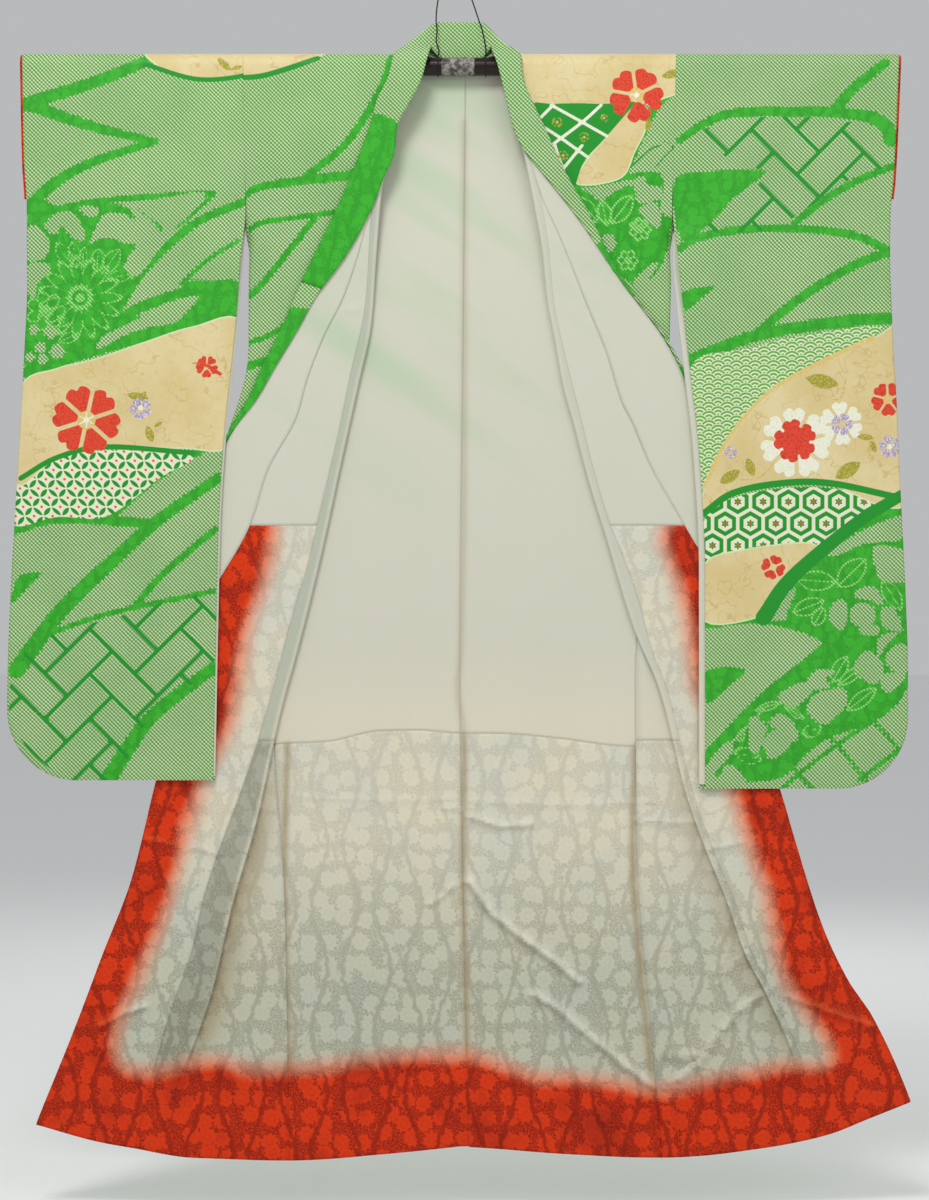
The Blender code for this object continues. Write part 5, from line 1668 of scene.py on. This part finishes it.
def makeHemSilk():
    # damask dyed cream in the middle and orange red towards the hem and sides
    tree, shader = startMaterial("hem_silk", clothLook(0.45, 0.0, 0.16))
    position = placeOf(tree)
    grain = useGroup(tree, groups["grain"], Position=position)
    damask = useGroup(tree, groups["damask"], Position=position)
    figure = larger(tree, damask["Ground"], damask["Vine"])
    mottle = noise(tree, position, 11.0, 3.0, 0.5)
    low = remap(tree, axes(tree, position)[2], -1.10, -1.42)
    turned, paintedCreaseShading = fieldOf(tree, "turned"), fieldOf(tree, "paintedCreaseShading")
    # painted highlight on the upper side of each crease and painted shade on its lower side
    paintedHighlight = times(tree, larger(tree, paintedCreaseShading, 0.0), 0.6)
    paintedShade = times(tree, larger(tree, times(tree, paintedCreaseShading, -1.0), 0.0), 0.5)
    pale = blend(tree, grain["Tone"], dyes["hemPale"], dyes["hemWarm"])
    # painted shade: greyer and with a stronger figure towards the hem, where the light falls off
    pale = blend(tree, low, pale, dyes["hemGrey"], 0.6)
    pale = blend(tree, turned, pale, dyes["hemShade"], 0.8)
    strength = timesPlus(tree, low, 0.30, timesPlus(tree, turned, 0.2, 0.26))
    pale = blend(tree, figure, pale, dyes["hemFigure"], strength)
    # tan along the seams and painted shadow beside the folds
    pale = blend(tree, fieldOf(tree, "seam"), pale, dyes["seamTanAndFoldShadow"], 0.7)
    # the painted crease highlight and shade on the pale silk
    pale = blend(tree, paintedShade, blend(tree, paintedHighlight, pale, dyes["paintedCreaseHighlight"]), dyes["creaseShade"])
    share = timesPlus(tree, minus(tree, mottle, 0.5), 0.45, fieldOf(tree, "redness"))
    red = blend(tree, remap(tree, share, 0.45, 0.80), dyes["hemOrange"], dyes["hemRed"])
    red = blend(tree, remap(tree, mottle, 0.46, 0.74), red, dyes["hemDeep"], 0.45)
    red = blend(tree, figure, red, dyes["hemDeep"], remap(tree, share, 0.3, 0.75, 0.15, 0.75))
    # the painted crease highlight and shade on the red
    red = blend(tree, paintedShade, blend(tree, paintedHighlight, red, dyes["hemOrange"]), dyes["hemDeep"])
    feed(tree, shader.inputs["Base Color"], blend(tree, remap(tree, share, 0.06, 0.76), pale, red))
    feed(tree, shader.inputs["Roughness"], timesPlus(tree, figure, 0.14, 0.42))
    raiseSurface(tree, shader, timesPlus(tree, figure, 0.10, times(tree, grain["Grain"], 0.06)))


def makeFilm():
    tree, shader = startMaterial("clear_film", {"Roughness": 0.14, "Base Color": dyed(172, 168, 160)})
    crinkle = noise(tree, placeOf(tree), 130.0, 3.0, 0.55)
    feed(tree, shader.inputs["Alpha"], remap(tree, crinkle, 0.35, 0.65, 0.12, 0.72))
    raiseSurface(tree, shader, times(tree, crinkle, 0.8), 0.8)


def makeCord():
    tree, shader = startMaterial("black_cord", clothLook(0.8, 0.2))
    shader.inputs["Base Color"].default_value = dyed(16, 15, 17)
    x, _, z = axes(tree, placeOf(tree))
    twist = maths(tree, "SINE", times(tree, plus(tree, x, z), 2 * math.pi / 0.0014))
    raiseSurface(tree, shader, times(tree, twist, 0.12))


makeOuterCloth("outer_cloth", True)
makeOuterCloth("collar_cloth", False)
makeWhiteSilk()
makeHemSilk()
makeFilm()
makeCord()
startMaterial("rod_lacquer", {
    "Roughness": 0.3, "Base Color": dyed(26, 4, 7), "Specular IOR Level": 0.3,
    "Coat Weight": 0.08, "Coat Roughness": 0.06,
})
startMaterial("ring_metal", {"Roughness": 0.28, "Base Color": dyed(196, 196, 198), "Metallic": 1.0})
print("materials made")


def dress(obj, slotName, *nodes):
    obj.data.materials.append(finishes[slotName])
    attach(obj, "root")
    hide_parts(*nodes)


def flatSize(grid):
    # the size that a panel was cut to, from its own rows and columns
    widths = np.linalg.norm(np.diff(grid, axis=1), axis=2).sum(axis=1)
    length = np.linalg.norm(np.diff(grid, axis=0), axis=2).sum(axis=0).max()
    return (round(float(widths.max()), 3), round(float(length), 3)), round(float(widths.mean() * length), 4)


def hangCloth(obj, grid, slotName, *nodes):
    dress(obj, slotName, *nodes)
    flat, area = flatSize(grid)


# Each kind of panel: its cloth, how far its face and its turned edge stand off its grid, and its relief
kinds = dict(
    outer=("outer_cloth", cloth["outerFace"], cloth["outerTurn"], slowRelief),
    lining=("white_silk", cloth["liningFace"], cloth["liningTurn"], liningRelief),
    hem=("hem_silk", cloth["liningFace"], cloth["liningTurn"], liningRelief),
    sleeve=("outer_cloth", 0.0006, -0.0004, sleeveRelief),
    sleeveLining=("white_silk", -0.0005, 0.0003, sleeveRelief),
    cuff=("hem_silk", -0.0005, 0.0003, sleeveRelief),
)
# How many points a row of a front has along each stretch, and the rows' and columns' distances
frontSteps = dict(curl=8, tail=12, panel=64, fold=10, strip=10)
liningSteps = dict(curl=6, tail=8, panel=30, fold=10, strip=8)
hemSteps = dict(curl=8, tail=16, panel=72, fold=10, strip=10)
fine = dict(cuff=0.0015, drawn=0.0025, close=0.004, middle=0.005, coarse=0.006, wide=0.008)
frontDrawnTo = -0.60
sleeveLining = dict(
    lift=-0.00075,
    width=0.12,             # shares of the sleeve's width
    cuffStart=0.965,
    above=0.006,            # the sleeve's lower edge
    turnWidth=0.0015,
)
sleevePictures = dict(left=leftSleevePicture, right=rightSleevePicture)


def hangPanel(name, side, kind, grid, nodes, picture=None, seams=None, turnWidth=cloth["turnWidth"]):
    slotName, face, turn, relief = kinds[kind]
    obj = addCloth(name + side.capitalize(), grid, face, turn, side == "left", relief, turnWidth)
    if picture:
        drawPicture(obj, picture)
    if kind == "hem":
        shadeHem(obj)
    if kind == "cuff":
        setField(obj, "redness", np.ones(len(obj.data.vertices)))
    if seams:
        shadeSeams(obj, side if seams == "front" else None)
    hangCloth(obj, grid, slotName, *(f"{node}_{side}" for node in nodes))


def hangBack(side, hem, upperEnd, lowerStart):
    mirrored = side == "left"
    rows = bodyLevels(shoulderLevel, hem, ((hem, fine["coarse"]),))
    hangPanel("back", side, "outer", backGrid(side, rows, fine["coarse"]), ["back"], backPicture)
    rows = bodyLevels(shoulderLevel, upperEnd, ((hem, fine["middle"]),))
    grid = bowSeam(backGrid(side, rows, fine["middle"]), mirrored)
    hangPanel("backLining", side, "lining", grid, ["back_lining"], seams="back")
    rows = bodyLevels(lowerStart, hem, ((hem, fine["close"]),))
    grid = bowSeam(backGrid(side, rows, fine["close"], garment["hemRoll"]), mirrored)
    hangPanel("backHem", side, "hem", grid, ["back_hem_lining"], seams="back")


def hangFront(side, hem, upperEnd, lowerStart):
    top = lines[side]["okumiTop"]
    steps = ((top, fine["drawn"]), (frontDrawnTo, fine["drawn"]), (hem, fine["wide"]))
    grid = frontGrid(side, bodyLevels(shoulderLevel, hem, steps), frontSteps)
    hangPanel("front", side, "outer", grid, ["front"], frontsPicture)
    rows = bodyLevels(shoulderLevel, upperEnd, ((top, fine["coarse"]), (hem, fine["coarse"])))
    grid = frontGrid(side, rows, liningSteps)
    hangPanel("frontLining", side, "lining", grid, ["front_lining"], seams="front")
    rows = bodyLevels(lowerStart, hem, ((hem, fine["middle"]),))
    grid = frontGrid(side, rows, hemSteps, garment["hemRoll"])
    hangPanel("frontHem", side, "hem", grid, ["front_hem_lining"], seams="front")


def hangOkumi(side, hem, gap):
    top, liningTop = lines[side]["okumiTop"], garment["okumiLiningTop"]
    grid = okumiGrid(side, bodyLevels(top, hem, ((hem, fine["wide"]),)), fine["wide"])
    hangPanel("okumi", side, "outer", grid, ["okumi", "okumi_end"], backPicture)
    grid = okumiGrid(side, bodyLevels(top, liningTop + gap, ((hem, fine["middle"]),)), fine["middle"])
    hangPanel("okumiLining", side, "lining", grid, ["okumi_lining"])
    rows = bodyLevels(liningTop - gap, hem, ((hem, fine["close"]),))
    grid = okumiGrid(side, rows, fine["middle"], garment["hemRoll"])
    hangPanel("okumiHem", side, "hem", grid, ["okumi_hem_lining"])


def hangSleeve(side):
    picture = sleevePictures[side]
    grid = sleeveGrid(side, -1, sleeveLevels(side, fine["drawn"]), fine["drawn"])[:, ::-1]
    hangPanel("sleeveFront", side, "sleeve", grid, ["sleeve_front"], picture)
    grid = sleeveGrid(side, 1, sleeveLevels(side, fine["coarse"]), fine["coarse"])
    hangPanel("sleeveBack", side, "sleeve", grid, ["sleeve_back"], picture)
    lift = sleeveLining["lift"]
    rows = sleeveLevels(side, fine["close"], lines[side]["sleeveBottom"] + sleeveLining["above"])
    grid = sleeveGrid(side, 1, rows, fine["close"], lift, (0.0, sleeveLining["width"]))
    hangPanel("sleeveLining", side, "sleeveLining", grid, ["sleeve_lining"])
    rows = sleeveLevels(side, fine["close"], garment["cuffRoll"] - garment["cuffOpening"])
    front, back = (
        sleeveGrid(
            side, way, rows, fine["cuff"], lift, (sleeveLining["cuffStart"], 1.0), garment["cuffRoll"],
        )
        for way in (-1, 1)
    )
    grid = np.concatenate([front[::-1], back])
    hangPanel("cuffLining", side, "cuff", grid, ["cuff_lining"], turnWidth=sleeveLining["turnWidth"])


for side in ("left", "right"):
    hem, gap = garment["hemLevel"], cloth["seamGap"] / 2
    upperEnd, lowerStart = garment["hemLiningTop"] + gap, garment["hemLiningTop"] - gap
    hangBack(side, hem, upperEnd, lowerStart)
    hangFront(side, hem, upperEnd, lowerStart)
    hangOkumi(side, hem, gap)
    hangSleeve(side)
print("panels made")


def hangCollar():
    wall, gap, under = collarSizes["wall"] / 2, cloth["layerGap"], collarSizes["turnedUnder"]
    turnWidth = collarSizes["turnWidth"]
    strips, ends = {}, {}
    for side in ("left", "right"):
        stations, turned, baseLevel = collarStations(side, collarSizes["rowStep"])
        strips[side] = (collarSection(stations, turned), stations, turned)
        ends[side] = int((baseLevel > collarSizes["overEnd"]).sum())
    left, right = strips["left"][0] * (-1, 1, 1), strips["right"][0]
    grid = np.concatenate([left[:0:-1], right])
    obj = addCloth("collarStrip", grid, collarSizes["face"], collarSizes["turn"], turnWidth=turnWidth)
    drawPicture(obj, collarPicture)
    hangCloth(obj, grid, "collar_cloth", "collar")
    grid = np.concatenate([left[ends["left"] - 1:0:-1], right[:ends["right"]]])
    face = wall + gap + collarSizes["overWall"]
    obj = addCloth("overcollarStrip", grid, face, face - under, turnWidth=turnWidth)
    drawPicture(obj, overcollarPicture)
    hangCloth(obj, grid, "collar_cloth", "overcollar")
    face = -(wall + gap + collarSizes["liningWall"])
    for side, (_, stations, turned) in strips.items():
        shown = stations[:, 0, 2] < collarSizes["liningTop"][side]
        grid = collarSection(stations[shown], turned[shown], lining=True)
        obj = addCloth("collarLining" + side.capitalize(), grid, face, face + under, side == "left")
        hangCloth(obj, grid, "white_silk", f"collar_lining_{side}")


hangCollar()
print("collar made")

# The cords go round the rod and up to the ring, which is above the picture
cordSizes = dict(
    diameter=0.002,
    clearance=0.0003,
    rodRadius=0.0135,
    wrap=range(105, 421, 15),   # degrees round the rod
    steps=24,
    spread=1.3,
    roundness=5,
)
cordRoutes = {
    "left": dict(
        wrap=-0.0330,
        across=((0.0128, -0.0330), (0.0160, -0.0330), (0.0233, -0.0315), (0.0398, -0.0360),
                (0.0533, -0.0345), (0.0683, -0.0360), (0.1808, -0.0154)),
    ),
    "right": dict(
        wrap=0.0385,
        across=((0.0128, 0.0385), (0.0160, 0.0385), (0.0233, 0.0390), (0.0368, 0.0372),
                (0.0503, 0.0345), (0.0623, 0.0315), (0.0683, 0.0290), (0.0908, 0.0215),
                (0.1808, -0.0126)),
    ),
}
cordDepths = (
    (0.0128, 0.0074), (0.0143, 0.0052), (0.0165, 0.0034), (0.0200, 0.0024), (0.0683, 0.0018),
    (0.1808, 0.0),
)


def addCord(side, route):
    around = cordSizes["rodRadius"] + cordSizes["clearance"] + cordSizes["diameter"] / 2
    lowest, highest = cordDepths[0][0], cordDepths[-1][0]
    points = []
    for turn in map(math.radians, cordSizes["wrap"]):
        points.append((route["wrap"], around * math.cos(turn), around * math.sin(turn)))
    for i in range(cordSizes["steps"] + 1):
        height = lowest + (highest - lowest) * (i / cordSizes["steps"]) ** cordSizes["spread"]
        points.append((float(along(route["across"], height)), float(along(cordDepths, height)), height))
    curve = bpy.data.curves.new("cord" + side.capitalize(), "CURVE")
    curve.dimensions = "3D"
    curve.bevel_depth = cordSizes["diameter"] / 2
    curve.bevel_resolution = cordSizes["roundness"]
    curve.use_fill_caps = True
    spline = curve.splines.new("POLY")
    spline.points.add(len(points) - 1)
    for spot, point in zip(spline.points, points):
        spot.co = (*point, 1)
    obj = bpy.data.objects.new("cord" + side.capitalize(), curve)
    bpy.context.scene.collection.objects.link(obj)
    dress(obj, "black_cord", f"cord_{side}")
    length = sum(math.dist(a, b) for a, b in zip(points, points[1:]))
    print("cord", side, round(length, 4))
    return obj, points[0], length


filmSizes = dict(
    radius=0.0147,
    halfLength=0.0245,
    middle=-0.0030,
    crinkle=0.0007,
    sink=0.2,
    ripples=((5, 420, 0.0), (9, -700, 1.3), (3, 1500, 0.0)),    # waves round, radians a metre along, start
    around=120,
    along=70,
)


def addFilm():
    # a short length of crinkled film wound on the rod between the cords
    around, rows = filmSizes["around"], filmSizes["along"]
    points, faces = [], []
    for i in range(rows + 1):
        x = filmSizes["middle"] + filmSizes["halfLength"] * (2 * i / rows - 1)
        for j in range(around):
            turn = 2 * math.pi * j / around
            ripple = sum(math.sin(a * turn + b * x + c) for a, b, c in filmSizes["ripples"])
            radius = filmSizes["radius"] + filmSizes["crinkle"] * (ripple / 3 - filmSizes["sink"])
            points.append((x, radius * math.cos(turn), radius * math.sin(turn)))
            here, after = i * around, (j + 1) % around
            if i < rows:
                faces.append((here + j, here + after, here + around + after, here + around + j))
    mesh = bpy.data.meshes.new("filmWrap")
    mesh.from_pydata(points, [], faces)
    mesh.shade_smooth()
    film = bpy.data.objects.new("filmWrap", mesh)
    bpy.context.scene.collection.objects.link(film)
    dress(film, "clear_film", "film_wrap")


ringSizes = dict(radius=0.008, wire=0.0014, centre=(-0.014, 0.0, 0.191), steps=96, sides=20)


def addRing():
    bpy.ops.mesh.primitive_torus_add(
        location=ringSizes["centre"], rotation=(math.radians(90), 0, 0),
        major_radius=ringSizes["radius"], minor_radius=ringSizes["wire"],
        major_segments=ringSizes["steps"], minor_segments=ringSizes["sides"],
    )
    ring = bpy.context.active_object
    ring.name = "hangingRing"
    ring.data.shade_smooth()
    dress(ring, "ring_metal", "hanging_ring")
    return ring


cords = [addCord(side, route) for side, route in cordRoutes.items()]
addFilm()
ring = addRing()
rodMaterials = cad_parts["rod"].data.materials
rodMaterials.clear()
rodMaterials.append(finishes["rod_lacquer"])
print("cords, film, ring and rod made")

stage = dict(
    floorSize=60,
    floorLevel=-1.72,
    floorColour=(0.93, 0.93, 0.93, 1),
    floorRoughness=0.9,
    skyColour=(0.88, 0.89, 0.90, 1),
    skyStrength=0.55,
    aim=(0, 0, -0.8),
    lights=(                # name, place, size, watts
        ("keyLight", (-0.7, -2.5, 2.0), 1.0, 62),
        ("fillLight", (1.6, -3.2, 0.6), 1.6, 16),
        ("backLight", (0.5, 3.0, 1.2), 2.4, 28),
    ),
)


def addStage():
    bpy.ops.mesh.primitive_plane_add(size=stage["floorSize"], location=(0, 0, stage["floorLevel"]))
    floor = bpy.context.active_object
    floor.name = "floor"
    paint = bpy.data.materials.new("floorPaint")
    paint.use_nodes = True
    shader = paint.node_tree.nodes["Principled BSDF"]
    shader.inputs["Base Color"].default_value = stage["floorColour"]
    shader.inputs["Roughness"].default_value = stage["floorRoughness"]
    floor.data.materials.append(paint)
    floor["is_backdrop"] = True
    world = bpy.data.worlds.new("studio")
    bpy.context.scene.world = world
    world.use_nodes = True
    sky = world.node_tree.nodes["Background"].inputs
    sky["Color"].default_value = stage["skyColour"]
    sky["Strength"].default_value = stage["skyStrength"]
    for name, place, size, power in stage["lights"]:
        data = bpy.data.lights.new(name, "AREA")
        data.size = size
        data.energy = power
        light = bpy.data.objects.new(name, data)
        bpy.context.scene.collection.objects.link(light)
        light.location = place
        aim = Vector(stage["aim"]) - Vector(place)
        light.rotation_euler = aim.to_track_quat("-Z", "Y").to_euler()


addStage()
bpy.context.scene.view_settings.view_transform = "Standard"
triangles = 0
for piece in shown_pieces():
    if piece.type == "MESH":
        piece.data.calc_loop_triangles()
        count = len(piece.data.loop_triangles)
        triangles += count
        print(piece.name, count)
print("triangles", triangles)
